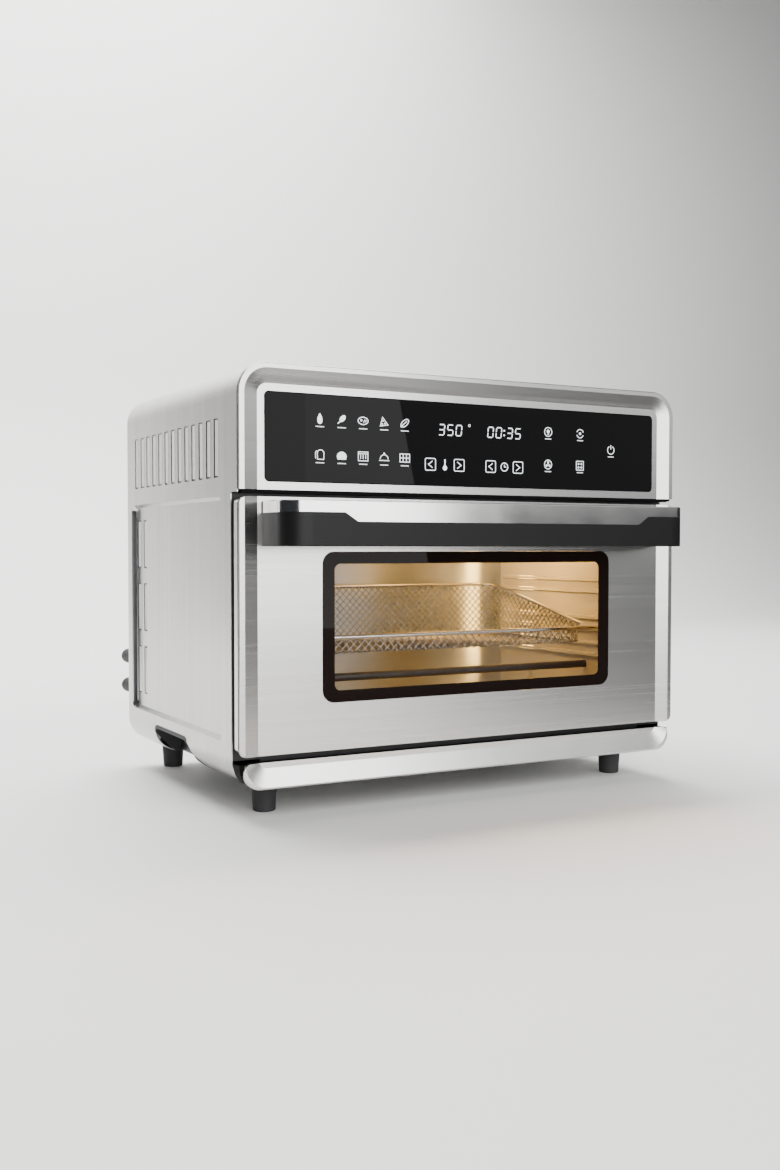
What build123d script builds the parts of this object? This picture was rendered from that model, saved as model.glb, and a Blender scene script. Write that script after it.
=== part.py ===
from build123d import *

import os

# Countertop toaster oven with a drop-down glass door, a touch fascia and a top convection fan.
# Millimetres. Working frame: X across, Y from the front rim plane (0) to the back, Z up from the table.
# Every piece is shifted by -DEPTH_MID along Y when it is written, so the origin is under the middle.

# Outer casing
HALF_W = 210.0
BODY_BOTTOM = 25.0
BODY_TOP = 348.0
BODY_REAR = 286.0
CORNER_R = 23.0
SHEET = 0.8
WRAP_FRONT_HIGH = 3.8
WRAP_FRONT_LOW = 17.0
WRAP_STEP_Z = 250.5
FLANGE_INNER_X = 168.0

# Dished front: an outer lip, a sloping band and a flat land that carries the glass
LAND_Y = 3.2
SKIN_BACK = 4.4
LIP_BACK = 1.4
LIP_ROUND = 1.0
RIM_X = 205.4
RIM_Z = (26.6, 343.9)
RIM_R = 19.0
LAND_X = 193.9
LAND_Z = (41.0, 332.5)
LAND_R = 8.0
LIP_GROOVE = 6.0
LIP_SHADOW = 1.8

# Fascia and touch glass
FASCIA_BOTTOM = 252.4
GLASS_X = 188.3
GLASS_Z = (258.4, 326.9)
GLASS_R = 4.0
GLASS_FRONT = 2.9
GLASS_T = 2.4
CARRIER_BACK = 14.0
CARRIER_LIP = 2.6

# Door
DOOR_Z = (50.5, 247.1)
DOOR_R = 5.5
PAN_FRONT = 5.4
PAN_BACK = 15.0
PAN_INSET = 0.8
PAN_BOTTOM_UP = 2.0
PAN_CHAMFER = 3.0
WINDOW_X = 139.9
WINDOW_Z = (87.5, 205.5)
WINDOW_R = 10.0
CLEAR_X = 129.3
CLEAR_Z = (96.8, 195.9)
CLEAR_R = 5.0
PANE_LAP = 9.0
OUTER_PANE_T = 4.0
INNER_PANE_T = 3.4
PANE_GAP = 0.1
SEAL_X = (173.0, 177.5)
SEAL_Z = (60.5, 240.5)
SEAL_T = 1.6

# Handle: a bar with two returns to the door
HANDLE_X = 190.0
HANDLE_Z = (209.5, 243.6)
HANDLE_FRONT = -45.0
HANDLE_R = 20.0
HANDLE_BAR_T = 15.0
HANDLE_POST_W = 16.0
TRIM_T = 0.9
TRIM_END_Z = 234.7
TRIM_MID_Z = 227.9
TRIM_STEP_X = (133.0, 143.7)

# Door hinge, axis along X
HINGE_Y = 9.0
HINGE_Z = 57.5
HINGE_EYE_R = 4.2
PIN_R = 1.8
PIN_PLAY = 0.06
PIN_X = (178.8, 187.0)
SPRING_Y = (64.0, 150.0)
SPRING_Z = 42.0
SPRING_R = (2.2, 3.4)
ARM_X = 180.0
ARM_T = 1.6
ARM_R = (42.0, 50.0)
ARM_SWEEP = (-2.0, 108.0)
ARM_WEB_W = 7.0
ARM_WEB_H = 52.0
ARM_SLOT_PLAY = 1.2
FRAME_ARM_SLOT_Z = (97.0, 108.5)
PAN_ARM_SLOT_Z = (95.0, 110.0)
BRACKET_X = 183.0
BRACKET_T = 2.5
HINGE_SLOT_X = (178.0, 187.5)
HINGE_SLOT_TOP = 70.0

# Sill under the door and the black base moulding behind it
SILL_X = 206.5
SILL_TOP = 45.3
SILL_TOP_R = 6.0
SILL_BOTTOM_R = 14.0
BASE_FRAME_X = 208.6
BASE_FRAME_TOP = 44.0
BASE_FRAME_R = 17.0
BASE_FRAME_T = 2.4

# Cooking cavity
FRAME_Y = (17.2, 18.2)
FRAME_X = 209.0
FRAME_Z = (46.0, 250.0)
FRAME_R = 2.0
CAVITY_X = 172.0
CAVITY_BACK = 222.0
CAVITY_Z = (62.0, 238.0)
MOUTH_X = 170.0
MOUTH_Z = (66.0, 236.0)
MOUTH_R = 4.0
LOW_RAIL_TOP = 109.8
RAIL_DEPTH = 5.0
RAIL_H = 4.0
RAIL_GROOVE = 7.0
RAIL_Y = (20.5, 214.0)

# Heaters: straight sheathed rods
ROD_R = 3.5
LOWER_ROD_Z = (98.0, 88.0)
LOWER_ROD_Y = (80.0, 165.0)
UPPER_ROD_Z = 224.0
UPPER_ROD_Y = (52.0, 190.0)
ROD_HALF = 190.0
BUSH_R = 7.0
BUSH_L = 12.0

# Basket, whose rim climbs from the front to the back, and crumb tray
BOWL_TOP_X = 146.0
BOWL_TOP_Y = (44.0, 201.0)
BOWL_FLOOR_IN = 2.0
BOWL_RIM_Z = (134.2, 168.6)
BOWL_FLOOR_Z = 121.0
BOWL_BLANK_TOP = 180.0
BOWL_T = 1.2
BOWL_FLANGE = 4.0
BOWL_FLANGE_T = 1.0
BOWL_MOUTH_R = 14.0
BOWL_FLOOR_R = 12.0
BOWL_PANEL_IN = 4.0
RIM_WIRE_R = 1.8
RIM_OUT = 3.0
RIM_BEND = 16.0
EAR_END_X = 170.5
TRAY_X = 166.0
TRAY_Y = (25.0, 219.0)
TRAY_Z = 62.4
TRAY_H = 3.6

# Fan and motor above the ceiling
FAN_Y = 120.0
FAN_HOLE_R = 80.0
GUARD_R = 86.0
GUARD_RINGS = ((24.0, 8), (42.0, 12), (60.0, 16))
GUARD_SLOT = (15.0, 5.0)
SHROUD_R = 92.0
SHROUD_TOP = 270.0
BLADE_TIP_R = 68.0
BLADE_Z = (246.0, 262.0)
BLADE_COUNT = 12
BLADE_HUB_R = 9.0
WHEEL_T = 1.2
SHAFT_R = 3.0
SHAFT_Z = (243.0, 336.0)
MOTOR_R = 28.0
MOTOR_Z = (274.0, 312.0)
CORE_X = 34.0
CORE_Y = 20.0
CORE_Z = (282.0, 300.0)
BRIDGE_X = 104.0
BRIDGE_Y = 22.0
BRIDGE_T = 1.6
COOLER_Z = (318.0, 330.0)
COOLER_R = 38.0
COOLER_COUNT = 8
COOLER_HUB_R = 7.0

# Lamp in the right wall, probe in the back wall, cut-out on the ceiling, door switch above the mouth
LAMP_Y = 138.0
LAMP_Z = 213.0
LAMP_R = 16.0
LAMP_BACK_X = 200.0
LAMP_CUP_T = 2.0
LAMP_BASE_L = 8.0
LAMP_BASE_R = 6.0
LAMP_BULB_R = 5.0
PROBE_X = 120.0
PROBE_Z = 200.0
PROBE_R = 2.5
PROBE_TIP_Y = 204.0
PROBE_TAIL = 12.0
CUTOUT_POS = (-130.0, 60.0)
CUTOUT_R = 8.5
CUTOUT_H = 8.0
SWITCH_X = 150.0
SWITCH_Z = 243.4
SWITCH_HALF = 8.0
SWITCH_BACK = 32.0
SWITCH_UP = 5.0
PLUNGER_R = 2.0
PLUNGER_HOLE_PLAY = 0.4
PLUNGER_Y = (15.3, 27.0)

# Side vents, pressed side panel and lower grip cut-out
VENT_COUNT = 13
VENT_Y = (45.5, 253.9)
VENT_Z = (262.9, 308.6)
VENT_W = 9.0
VENT_R = 1.2
FIN_RUN = 4.0
FIN_RISE = 0.8
PANEL_Y = (38.0, 273.5)
PANEL_Z = (58.5, 248.0)
PANEL_DRAFT = 2.6
PANEL_DEPTH = 4.5
PANEL_SLOT_X = (0.9, 4.1)
PANEL_SLOT_END = 5.0
LOWER_VENT_Y = (243.5, 261.0)
LOWER_VENT_Z = (73.0, 131.4, 189.6)
LOWER_VENT_H = 44.2
GRIP = ((206.0, 10.0), (206.0, 50.5), (124.0, 50.5), (103.0, 28.5), (72.0, 24.5), (72.0, 10.0))
GRIP_FLANGE = 5.0
GRIP_TOP_R = 7.0
GRIP_TOE_R = 22.0

# Feet, base and rear cover
FOOT_X = 172.8
FOOT_Y = (42.6, 267.5)
FOOT_R = (8.9, 10.5)
FOOT_FLANGE_R = 13.5
FOOT_FLANGE_T = 2.5
BASE_X = 186.0
BASE_Y = (19.4, 280.2)
BASE_Z = (25.8, 50.0)
BASE_WALL = 1.2
REAR_Y = (282.4, 283.4)
REAR_INSET = 1.1
REAR_SLOT = (26.0, 4.0)
REAR_SLOT_PITCH = (36.0, 16.0)
REAR_SLOT_COLUMNS = 9
REAR_SLOT_ROWS = 6
REAR_SLOT_LOW = 110.0
REAR_SCREW_X = (-190.0, 0.0, 190.0)
REAR_SCREW_Z = (60.0, 325.0)
REAR_SCREW_R = 4.0
REAR_SCREW_H = 2.0
SPACER_X = 202.5
SPACER_Z = (75.2, 103.3)
SPACER_R = 6.8
SPACER_NECK_R = 4.0
SPACER_REAR = 314.0
SPACER_ROUND = 1.5
GLAND_POS = (-150.0, 62.0)
GLAND_R = 7.0
GLAND_FLANGE = 4.0
GLAND_NECK = 6.0
GLAND_BORE_R = 3.6

# Boards behind the glass and above the cavity
BOARD_X = 172.0
BOARD_Y = (9.0, 10.6)
BOARD_Z = (266.0, 320.0)
DISPLAY_X = ((-37.5, -1.0), (11.0, 47.0))
DISPLAY_FRONT = 5.6
DISPLAY_Z = (297.0, 311.0)
POWER_X = (112.0, 192.0)
POWER_Y = (60.0, 220.0)
POWER_Z = (262.0, 263.6)
POST_IN = 5.5
POST_R = 3.0
RELAY_X = (120.0, 136.0)
RELAY_Y = (80.0, 110.0, 140.0)
RELAY_L = 20.0
RELAY_H = 16.0
TRANSFORMER_X = (148.0, 184.0)
TRANSFORMER_Y = (90.0, 126.0)
TRANSFORMER_H = 29.4

DEPTH_MID = (SPACER_REAR + HANDLE_FRONT) / 2.0
RIM_SLOPE = Vector(0, BOWL_TOP_Y[1] - BOWL_TOP_Y[0], BOWL_RIM_Z[1] - BOWL_RIM_Z[0])
RIM_PLANE = Plane((0, BOWL_TOP_Y[0], BOWL_RIM_Z[0]), x_dir=(1, 0, 0), z_dir=(0, -RIM_SLOPE.Z, RIM_SLOPE.Y))


def block(x, y, z):
    """A box from three (low, high) pairs."""
    size = Box(x[1] - x[0], y[1] - y[0], z[1] - z[0])
    return Pos((x[0] + x[1]) / 2, (y[0] + y[1]) / 2, (z[0] + z[1]) / 2) * size


def front_rect(half_x, z, radius):
    """A rounded rectangle in the front view, centred across."""
    return Pos(0, (z[0] + z[1]) / 2) * RectangleRounded(2 * half_x, z[1] - z[0], radius)


def in_front(sketch, y0, y1):
    """A front-view sketch carried from depth y0 to depth y1."""
    return extrude(Plane.XZ.offset(-y0) * sketch, amount=y1 - y0, dir=(0, 1, 0))


def from_side(sketch, x0, x1):
    """A side-view sketch of (y, z) carried from x0 to x1."""
    return extrude(Plane.YZ.offset(x0) * sketch, amount=x1 - x0, dir=(1, 0, 0))


def from_top(sketch, z0, z1):
    """A plan-view sketch carried from z0 to z1."""
    return extrude(Pos(0, 0, z0) * sketch, amount=z1 - z0, dir=(0, 0, 1))


def rod_x(x0, x1, y, z, radius):
    """A round rod along X."""
    return Pos((x0 + x1) / 2, y, z) * Rot(0, 90, 0) * Cylinder(radius, x1 - x0)


def rod_y(x, y0, y1, z, radius):
    """A round rod along Y."""
    return Pos(x, (y0 + y1) / 2, z) * Rot(90, 0, 0) * Cylinder(radius, y1 - y0)


def rod_z(x, y, z0, z1, radius):
    """A round rod along Z."""
    return Pos(x, y, (z0 + z1) / 2) * Cylinder(radius, z1 - z0)


def both_sides(solid):
    """A solid and its mirror image across the middle plane."""
    return solid + mirror(solid, about=Plane.YZ)


def group(solids):
    """Separate solids in one node."""
    return Compound(children=list(solids))


def outline(inset=0.0):
    """The casing's front outline, drawn in by inset."""
    return front_rect(HALF_W - inset, (BODY_BOTTOM + inset, BODY_TOP - inset), CORNER_R - inset)


def dish():
    """The hollow that dishes the front, from the lip down the band to the land."""
    lip = Plane.XZ * front_rect(RIM_X, RIM_Z, RIM_R)
    land = Plane.XZ.offset(-LAND_Y) * front_rect(LAND_X, LAND_Z, LAND_R)
    return loft([lip.face(), land.face()], ruled=True)


def softened_plate(sketch, back):
    """A front plate whose outer front edge is rounded over."""
    plate = in_front(sketch, 0, back)
    return fillet(plate.edges().group_by(Axis.Y)[0], LIP_ROUND)


def vent_places():
    """Slots in one side as (y, low z, high z, depth of the sheet that they are cut in)."""
    pitch = (VENT_Y[1] - VENT_Y[0]) / (VENT_COUNT - 1)
    places = [(VENT_Y[0] + index * pitch, *VENT_Z, 0.0) for index in range(VENT_COUNT)]
    for y in LOWER_VENT_Y:
        places += [(y, z, z + LOWER_VENT_H, PANEL_DEPTH) for z in LOWER_VENT_Z]
    return places


def side_vents():
    """Tall slots through both sides of the casing, upper row and lower columns."""
    slots = Sketch()
    shift = (VENT_W - FIN_RUN) / 2
    for y, low, high, depth in vent_places():
        slots += Pos(y + shift, (low + high) / 2) * RectangleRounded(VENT_W, high - low, VENT_R)
    return slots


def louvre_fins():
    """Slanted fins in the left side's slots, rooted at the front edge and standing out at the back."""
    fins = []
    for y, low, high, depth in vent_places():
        face = -HALF_W + depth
        root = y - FIN_RUN / 2
        tip = y + FIN_RUN / 2
        points = ((face, root), (face - FIN_RISE, tip), (face - FIN_RISE + SHEET, tip), (face + SHEET, root))
        fins.append(from_top(Polygon(*points, align=None), low + VENT_R, high - VENT_R))
    return fins


def panel_air_slot():
    """The open rear wall of the left pressed panel, where air is drawn in."""
    x = (-HALF_W + PANEL_SLOT_X[0], -HALF_W + PANEL_SLOT_X[1])
    y = (PANEL_Y[1] - 2 * PANEL_DRAFT, PANEL_Y[1] + PANEL_DRAFT)
    return block(x, y, (PANEL_Z[0] + PANEL_SLOT_END, PANEL_Z[1] - PANEL_SLOT_END))


def panel_frustum(x_outer, x_inner, grow):
    """The pressed side panel as a drafted block, grown by the sheet where it is the outside of the press."""
    middle = Pos((PANEL_Y[0] + PANEL_Y[1]) / 2, (PANEL_Z[0] + PANEL_Z[1]) / 2)
    width = PANEL_Y[1] - PANEL_Y[0] + 2 * grow
    height = PANEL_Z[1] - PANEL_Z[0] + 2 * grow
    mouth = middle * RectangleRounded(width, height, 5)
    floor = middle * RectangleRounded(width - 2 * PANEL_DRAFT, height - 2 * PANEL_DRAFT, 4)
    faces = [(Plane.YZ.offset(x_outer) * mouth).face(), (Plane.YZ.offset(x_inner) * floor).face()]
    return loft(faces, ruled=True)


def grip_outline():
    """The grip cut-out in the lower edge of the side, as (y, z)."""
    face = make_face(Polyline(*GRIP, close=True))
    face = fillet(face.vertices().group_by(Axis.Y)[-1], GRIP_TOP_R)
    toe = face.vertices().sort_by_distance((*GRIP[3], 0))[0]
    return fillet(toe, GRIP_TOE_R)


def make_outer_wrap():
    """Brushed sheet wrap: both sides and the top, rolled in at the bottom edges."""
    tube = in_front(outline(), WRAP_FRONT_HIGH, BODY_REAR) - in_front(outline(SHEET), 0, BODY_REAR + 5)
    tube -= block((-FLANGE_INNER_X, FLANGE_INNER_X), (-5, BODY_REAR + 5), (BODY_BOTTOM - 5, BODY_BOTTOM + 5))
    tube -= block((-HALF_W - 5, HALF_W + 5), (-5, WRAP_FRONT_LOW), (BODY_BOTTOM - 5, WRAP_STEP_Z))
    press = panel_frustum(-HALF_W + SHEET, -HALF_W + PANEL_DEPTH + SHEET, SHEET)
    hollow = panel_frustum(-HALF_W, -HALF_W + PANEL_DEPTH, 0)
    tube = tube + both_sides(press) - both_sides(hollow) - both_sides(panel_air_slot())
    grip = grip_outline()
    lining = from_side(offset(grip, SHEET, kind=Kind.INTERSECTION), -HALF_W, -HALF_W + GRIP_FLANGE)
    lining = lining & in_front(outline(), WRAP_FRONT_LOW, BODY_REAR)
    tube = tube + both_sides(lining)
    tube -= from_side(grip, -HALF_W - 5, -FLANGE_INNER_X + 1)
    tube -= from_side(grip, FLANGE_INNER_X - 1, HALF_W + 5)
    tube -= from_side(side_vents(), -HALF_W - 5, HALF_W + 5)
    fins = louvre_fins()
    return tube + fins + [mirror(fin, about=Plane.YZ) for fin in fins]


def make_base_pan():
    """Black base tray inside the wrap."""
    tray = block((-BASE_X, BASE_X), BASE_Y, BASE_Z)
    inside_x = BASE_X - BASE_WALL
    inside_y = (BASE_Y[0] + BASE_WALL, BASE_Y[1] - BASE_WALL)
    return tray - block((-inside_x, inside_x), inside_y, (BASE_Z[0] + BASE_WALL, BASE_Z[1] + 1))


def make_rear_cover():
    """Back sheet with rows of cooling slots and the gland's hole."""
    cover = in_front(outline(REAR_INSET), *REAR_Y)
    slots = Sketch()
    for column in range(REAR_SLOT_COLUMNS):
        x = (column - (REAR_SLOT_COLUMNS - 1) / 2) * REAR_SLOT_PITCH[0]
        for row in range(REAR_SLOT_ROWS):
            slots += Pos(x, REAR_SLOT_LOW + row * REAR_SLOT_PITCH[1]) * SlotOverall(*REAR_SLOT)
    cover -= in_front(slots, REAR_Y[0] - 1, REAR_Y[1] + 1)
    hole = rod_y(GLAND_POS[0], REAR_Y[0] - 1, REAR_Y[1] + 1, GLAND_POS[1], GLAND_R)
    return cover - hole


def make_cord_gland():
    """Moulded gland ring in the rear cover, empty."""
    x, z = GLAND_POS
    inner_end = REAR_Y[0] - GLAND_NECK
    flange = rod_y(x, REAR_Y[1], BODY_REAR, z, GLAND_R + GLAND_FLANGE)
    neck = rod_y(x, inner_end, REAR_Y[1], z, GLAND_R)
    bore = rod_y(x, inner_end - 1, BODY_REAR + 1, z, GLAND_BORE_R)
    return flange + neck - bore


def make_rear_screws():
    """Pan-head screws that hold the rear cover."""
    ends = (REAR_Y[1], REAR_Y[1] + REAR_SCREW_H)
    return group([rod_y(x, *ends, z, REAR_SCREW_R) for x in REAR_SCREW_X for z in REAR_SCREW_Z])


def make_rear_spacers():
    """Round rubber spacers that keep the back clear of a wall, two on each side."""
    spacers = []
    for x in (-SPACER_X, SPACER_X):
        for z in SPACER_Z:
            head = rod_y(x, BODY_REAR, SPACER_REAR, z, SPACER_R)
            head = fillet(head.edges().group_by(Axis.Y)[-1], SPACER_ROUND)
            spacers.append(head + rod_y(x, REAR_Y[1], BODY_REAR, z, SPACER_NECK_R))
    return group(spacers)


def make_front_frame():
    """Oven face plate behind the door, with the mouth of the cavity."""
    through = (FRAME_Y[0] - 1, FRAME_Y[1] + 1)
    plate = in_front(front_rect(FRAME_X, FRAME_Z, FRAME_R), *FRAME_Y)
    plate -= in_front(front_rect(MOUTH_X, MOUTH_Z, MOUTH_R), *through)
    slot = block((ARM_X - ARM_SLOT_PLAY, ARM_X + ARM_T + ARM_SLOT_PLAY), through, FRAME_ARM_SLOT_Z)
    plate -= both_sides(slot)
    return plate - rod_y(SWITCH_X, *through, SWITCH_Z, PLUNGER_R + PLUNGER_HOLE_PLAY)


def make_base_frame():
    """Black moulding behind the sill, seen in the gap under the door and round the sill's ends."""
    def face(half_x, z):
        shape = Pos(0, (z[0] + z[1]) / 2) * Rectangle(2 * half_x, z[1] - z[0])
        return fillet(shape.vertices().group_by(Axis.Y)[0], BASE_FRAME_R)
    body = in_front(face(BASE_FRAME_X, (BODY_BOTTOM + 0.6, BASE_FRAME_TOP)), SKIN_BACK, WRAP_FRONT_LOW)
    inside_y = (SKIN_BACK + BASE_FRAME_T, WRAP_FRONT_LOW + 1)
    inside_z = (BODY_BOTTOM, BASE_FRAME_TOP - BASE_FRAME_T)
    return body - block((-FLANGE_INNER_X, FLANGE_INNER_X), inside_y, inside_z)


def make_sill():
    """Polished dished sill, the lower band of the front."""
    shape = Pos(0, (BODY_BOTTOM + SILL_TOP) / 2) * Rectangle(2 * SILL_X, SILL_TOP - BODY_BOTTOM)
    shape = fillet(shape.vertices().group_by(Axis.Y)[0], SILL_BOTTOM_R)
    shape = fillet(shape.vertices().group_by(Axis.Y)[-1], SILL_TOP_R)
    return softened_plate(shape, SKIN_BACK) - dish()


def lip_ring(inset, back):
    """The ring behind the lip where the fascia skin is cut back, starting inset from the outline."""
    return in_front(outline(inset), LIP_BACK, back) - in_front(outline(LIP_GROOVE), LIP_BACK, back)


def make_fascia():
    """Dished fascia skin round the touch glass."""
    blank = softened_plate(outline(), SKIN_BACK) - dish()
    blank = blank & block((-HALF_W - 1, HALF_W + 1), (-1, SKIN_BACK + 1), (FASCIA_BOTTOM, BODY_TOP + 1))
    window = in_front(front_rect(GLASS_X, GLASS_Z, GLASS_R), -1, SKIN_BACK + 1)
    return blank - lip_ring(0, SKIN_BACK + 1) - window


def make_fascia_carrier():
    """Black carrier behind the fascia: fills the lip's groove and frames the glass."""
    high = block((-HALF_W, HALF_W), (0, CARRIER_BACK), (FASCIA_BOTTOM, BODY_TOP))
    rim = lip_ring(LIP_SHADOW, SKIN_BACK)
    back = in_front(outline(LIP_SHADOW), SKIN_BACK, CARRIER_BACK)
    lip = block((-RIM_X, RIM_X), (CARRIER_LIP, CARRIER_BACK), (FASCIA_BOTTOM - 2.6, FASCIA_BOTTOM))
    body = ((rim + back) & high) + lip
    seat = in_front(front_rect(GLASS_X, GLASS_Z, GLASS_R), SKIN_BACK - 1, GLASS_FRONT + GLASS_T)
    well = front_rect(GLASS_X - 5, (GLASS_Z[0] + 4, GLASS_Z[1] - 4), 3)
    return body - seat - in_front(well, SKIN_BACK, CARRIER_BACK + 1)


def make_control_glass():
    """Black touch glass."""
    rect = front_rect(GLASS_X - 0.3, (GLASS_Z[0] + 0.3, GLASS_Z[1] - 0.3), GLASS_R - 0.3)
    plate = in_front(rect, GLASS_FRONT, GLASS_FRONT + GLASS_T)
    return chamfer(plate.edges().group_by(Axis.Y)[0], 0.4)


def make_display_board():
    """Touch and display circuit board behind the glass."""
    return block((-BOARD_X, BOARD_X), BOARD_Y, BOARD_Z)


def make_led_display():
    """Two four-digit display blocks on the board."""
    return group([block(span, (DISPLAY_FRONT, BOARD_Y[0]), DISPLAY_Z) for span in DISPLAY_X])


def make_power_board():
    """Power circuit board above the cavity, on four posts."""
    board = block(POWER_X, POWER_Y, POWER_Z)
    for x in (POWER_X[0] + POST_IN, POWER_X[1] - POST_IN):
        for y in (POWER_Y[0] + POST_IN, POWER_Y[1] - POST_IN):
            board += rod_z(x, y, CAVITY_Z[1] + 1.0, POWER_Z[0], POST_R)
    return board


def make_relays():
    """Relay cans and a transformer on the power board."""
    base = POWER_Z[1]
    cans = [block(RELAY_X, (y, y + RELAY_L), (base, base + RELAY_H)) for y in RELAY_Y]
    return group(cans + [block(TRANSFORMER_X, TRANSFORMER_Y, (base, base + TRANSFORMER_H))])


def make_cavity_left():
    """Left wall of the cavity with pressed shelf rails and the heaters' holes."""
    wall = block((-CAVITY_X - 1, -CAVITY_X), (FRAME_Y[1], CAVITY_BACK), CAVITY_Z)
    for top in (LOW_RAIL_TOP, *(end.Z - RIM_WIRE_R for end in rim_ends())):
        for low in (top - RAIL_H, top + RAIL_GROOVE):
            crest = -CAVITY_X + RAIL_DEPTH
            points = ((-CAVITY_X, low), (crest, low + 1.0), (crest, low + RAIL_H - 0.6),
                      (-CAVITY_X, low + RAIL_H))
            wall += in_front(Polygon(*points, align=None), *RAIL_Y)
    for y, z in rod_places():
        wall -= rod_x(-CAVITY_X - 2, -CAVITY_X + 1, y, z, ROD_R + 0.6)
    return wall


def rod_places():
    """Centres (y, z) of the four heater rods."""
    return list(zip(LOWER_ROD_Y, LOWER_ROD_Z)) + [(y, UPPER_ROD_Z) for y in UPPER_ROD_Y]


def make_cavity_right():
    """Right cavity wall, with the lamp's window."""
    window = rod_x(CAVITY_X - 1, CAVITY_X + 2, LAMP_Y, LAMP_Z, LAMP_R - LAMP_CUP_T)
    return mirror(make_cavity_left(), about=Plane.YZ) - window


def make_cavity_back():
    """Back wall of the cavity with the probe's hole."""
    wall = block((-CAVITY_X - 1, CAVITY_X + 1), (CAVITY_BACK, CAVITY_BACK + 1), CAVITY_Z)
    return wall - rod_y(PROBE_X, CAVITY_BACK - 1, CAVITY_BACK + 2, PROBE_Z, PROBE_R)


def cavity_sheet(z):
    """A level sheet over the whole cavity, one millimetre thick."""
    return block((-CAVITY_X - 1, CAVITY_X + 1), (FRAME_Y[1], CAVITY_BACK + 1), (z, z + 1))


def make_cavity_top():
    """Ceiling of the cavity with the fan's opening."""
    return cavity_sheet(CAVITY_Z[1]) - rod_z(0, FAN_Y, CAVITY_Z[1] - 1, CAVITY_Z[1] + 2, FAN_HOLE_R)


def make_cavity_floor():
    """Floor of the cavity."""
    return cavity_sheet(CAVITY_Z[0] - 1)


def make_fan_guard():
    """Slotted guard under the fan's opening."""
    disc = rod_z(0, FAN_Y, CAVITY_Z[1] - 1.4, CAVITY_Z[1], GUARD_R)
    slots = Sketch()
    for ring, (radius, count) in enumerate(GUARD_RINGS):
        for index in range(count):
            turn = 360.0 * (index + 0.5 * (ring % 2)) / count
            slots += Rot(0, 0, turn) * Pos(radius, 0) * SlotOverall(*GUARD_SLOT)
    return disc - Pos(0, FAN_Y, 0) * from_top(slots, CAVITY_Z[1] - 3, CAVITY_Z[1] + 1)


def make_fan_shroud():
    """Inverted pan over the fan."""
    pan = rod_z(0, FAN_Y, CAVITY_Z[1] + 1, SHROUD_TOP, SHROUD_R)
    pan -= rod_z(0, FAN_Y, CAVITY_Z[1], SHROUD_TOP - 1, SHROUD_R - 1)
    return pan - rod_z(0, FAN_Y, SHROUD_TOP - 2, SHROUD_TOP + 1, SHAFT_R + 3)


def bladed_wheel(z, tip_r, count, hub_r):
    """A disc wheel with upright radial blades and a bored hub."""
    wheel = rod_z(0, 0, z[1] - WHEEL_T, z[1], tip_r) + rod_z(0, 0, z[0], z[1], hub_r)
    for index in range(count):
        blade = block((hub_r - 1, tip_r - 1), (-WHEEL_T / 2, WHEEL_T / 2), z)
        wheel += Rot(0, 0, 360.0 * index / count) * blade
    return Pos(0, FAN_Y, 0) * (wheel - rod_z(0, 0, z[0] - 1, z[1] + 1, SHAFT_R))


def make_convection_fan():
    """Air wheel that blows down into the cavity."""
    return bladed_wheel(BLADE_Z, BLADE_TIP_R, BLADE_COUNT, BLADE_HUB_R)


def make_cooling_fan():
    """Small wheel on the motor's top that cools the casing."""
    return bladed_wheel(COOLER_Z, COOLER_R, COOLER_COUNT, COOLER_HUB_R)


def make_motor_shaft():
    """Shaft that carries both wheels."""
    return rod_z(0, FAN_Y, *SHAFT_Z, SHAFT_R)


def make_fan_motor():
    """Motor body with its bore."""
    body = rod_z(0, FAN_Y, *MOTOR_Z, MOTOR_R)
    core = block((-CORE_X, CORE_X), (FAN_Y - CORE_Y, FAN_Y + CORE_Y), CORE_Z)
    return body + core - rod_z(0, FAN_Y, MOTOR_Z[0] - 1, MOTOR_Z[1] + 1, SHAFT_R + PIN_PLAY)


def make_motor_bracket():
    """Bridge that carries the motor over the shroud."""
    width = (FAN_Y - BRIDGE_Y, FAN_Y + BRIDGE_Y)
    bridge = block((-BRIDGE_X, BRIDGE_X), width, (MOTOR_Z[0] - BRIDGE_T, MOTOR_Z[0]))
    leg = block((BRIDGE_X - BRIDGE_T, BRIDGE_X), width, (CAVITY_Z[1] + 1, MOTOR_Z[0]))
    return bridge + both_sides(leg) - rod_z(0, FAN_Y, MOTOR_Z[0] - 3, MOTOR_Z[0] + 1, SHAFT_R + 2)


def heater_rod(place):
    """One straight heater rod through both cavity walls."""
    return rod_x(-ROD_HALF, ROD_HALF, *place, ROD_R)


def make_heater_bushes():
    """Ceramic bushes that hold the rods outside the cavity walls."""
    bushes = []
    for y, z in rod_places():
        for side in (-1, 1):
            ends = sorted((side * (CAVITY_X + 1), side * (CAVITY_X + 1 + BUSH_L)))
            bushes.append(rod_x(*ends, y, z, BUSH_R) - rod_x(*ends, y, z, ROD_R))
    return group(bushes)


def make_lamp_housing():
    """Cup outside the right wall that holds the lamp."""
    cup = rod_x(CAVITY_X + 1, LAMP_BACK_X, LAMP_Y, LAMP_Z, LAMP_R + LAMP_CUP_T)
    return cup - rod_x(CAVITY_X, LAMP_BACK_X - LAMP_CUP_T, LAMP_Y, LAMP_Z, LAMP_R)


def make_lamp_bulb():
    """Small capsule lamp in its cup."""
    seat = LAMP_BACK_X - LAMP_CUP_T
    base = rod_x(seat - LAMP_BASE_L, seat, LAMP_Y, LAMP_Z, LAMP_BASE_R)
    bulb = rod_x(CAVITY_X + LAMP_BASE_R, seat - LAMP_BASE_L, LAMP_Y, LAMP_Z, LAMP_BULB_R)
    return base + bulb


def make_lamp_cover():
    """Glass disc over the lamp, just proud of the wall."""
    return rod_x(CAVITY_X - 1.5, CAVITY_X + 3, LAMP_Y, LAMP_Z, LAMP_R - LAMP_CUP_T)


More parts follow.
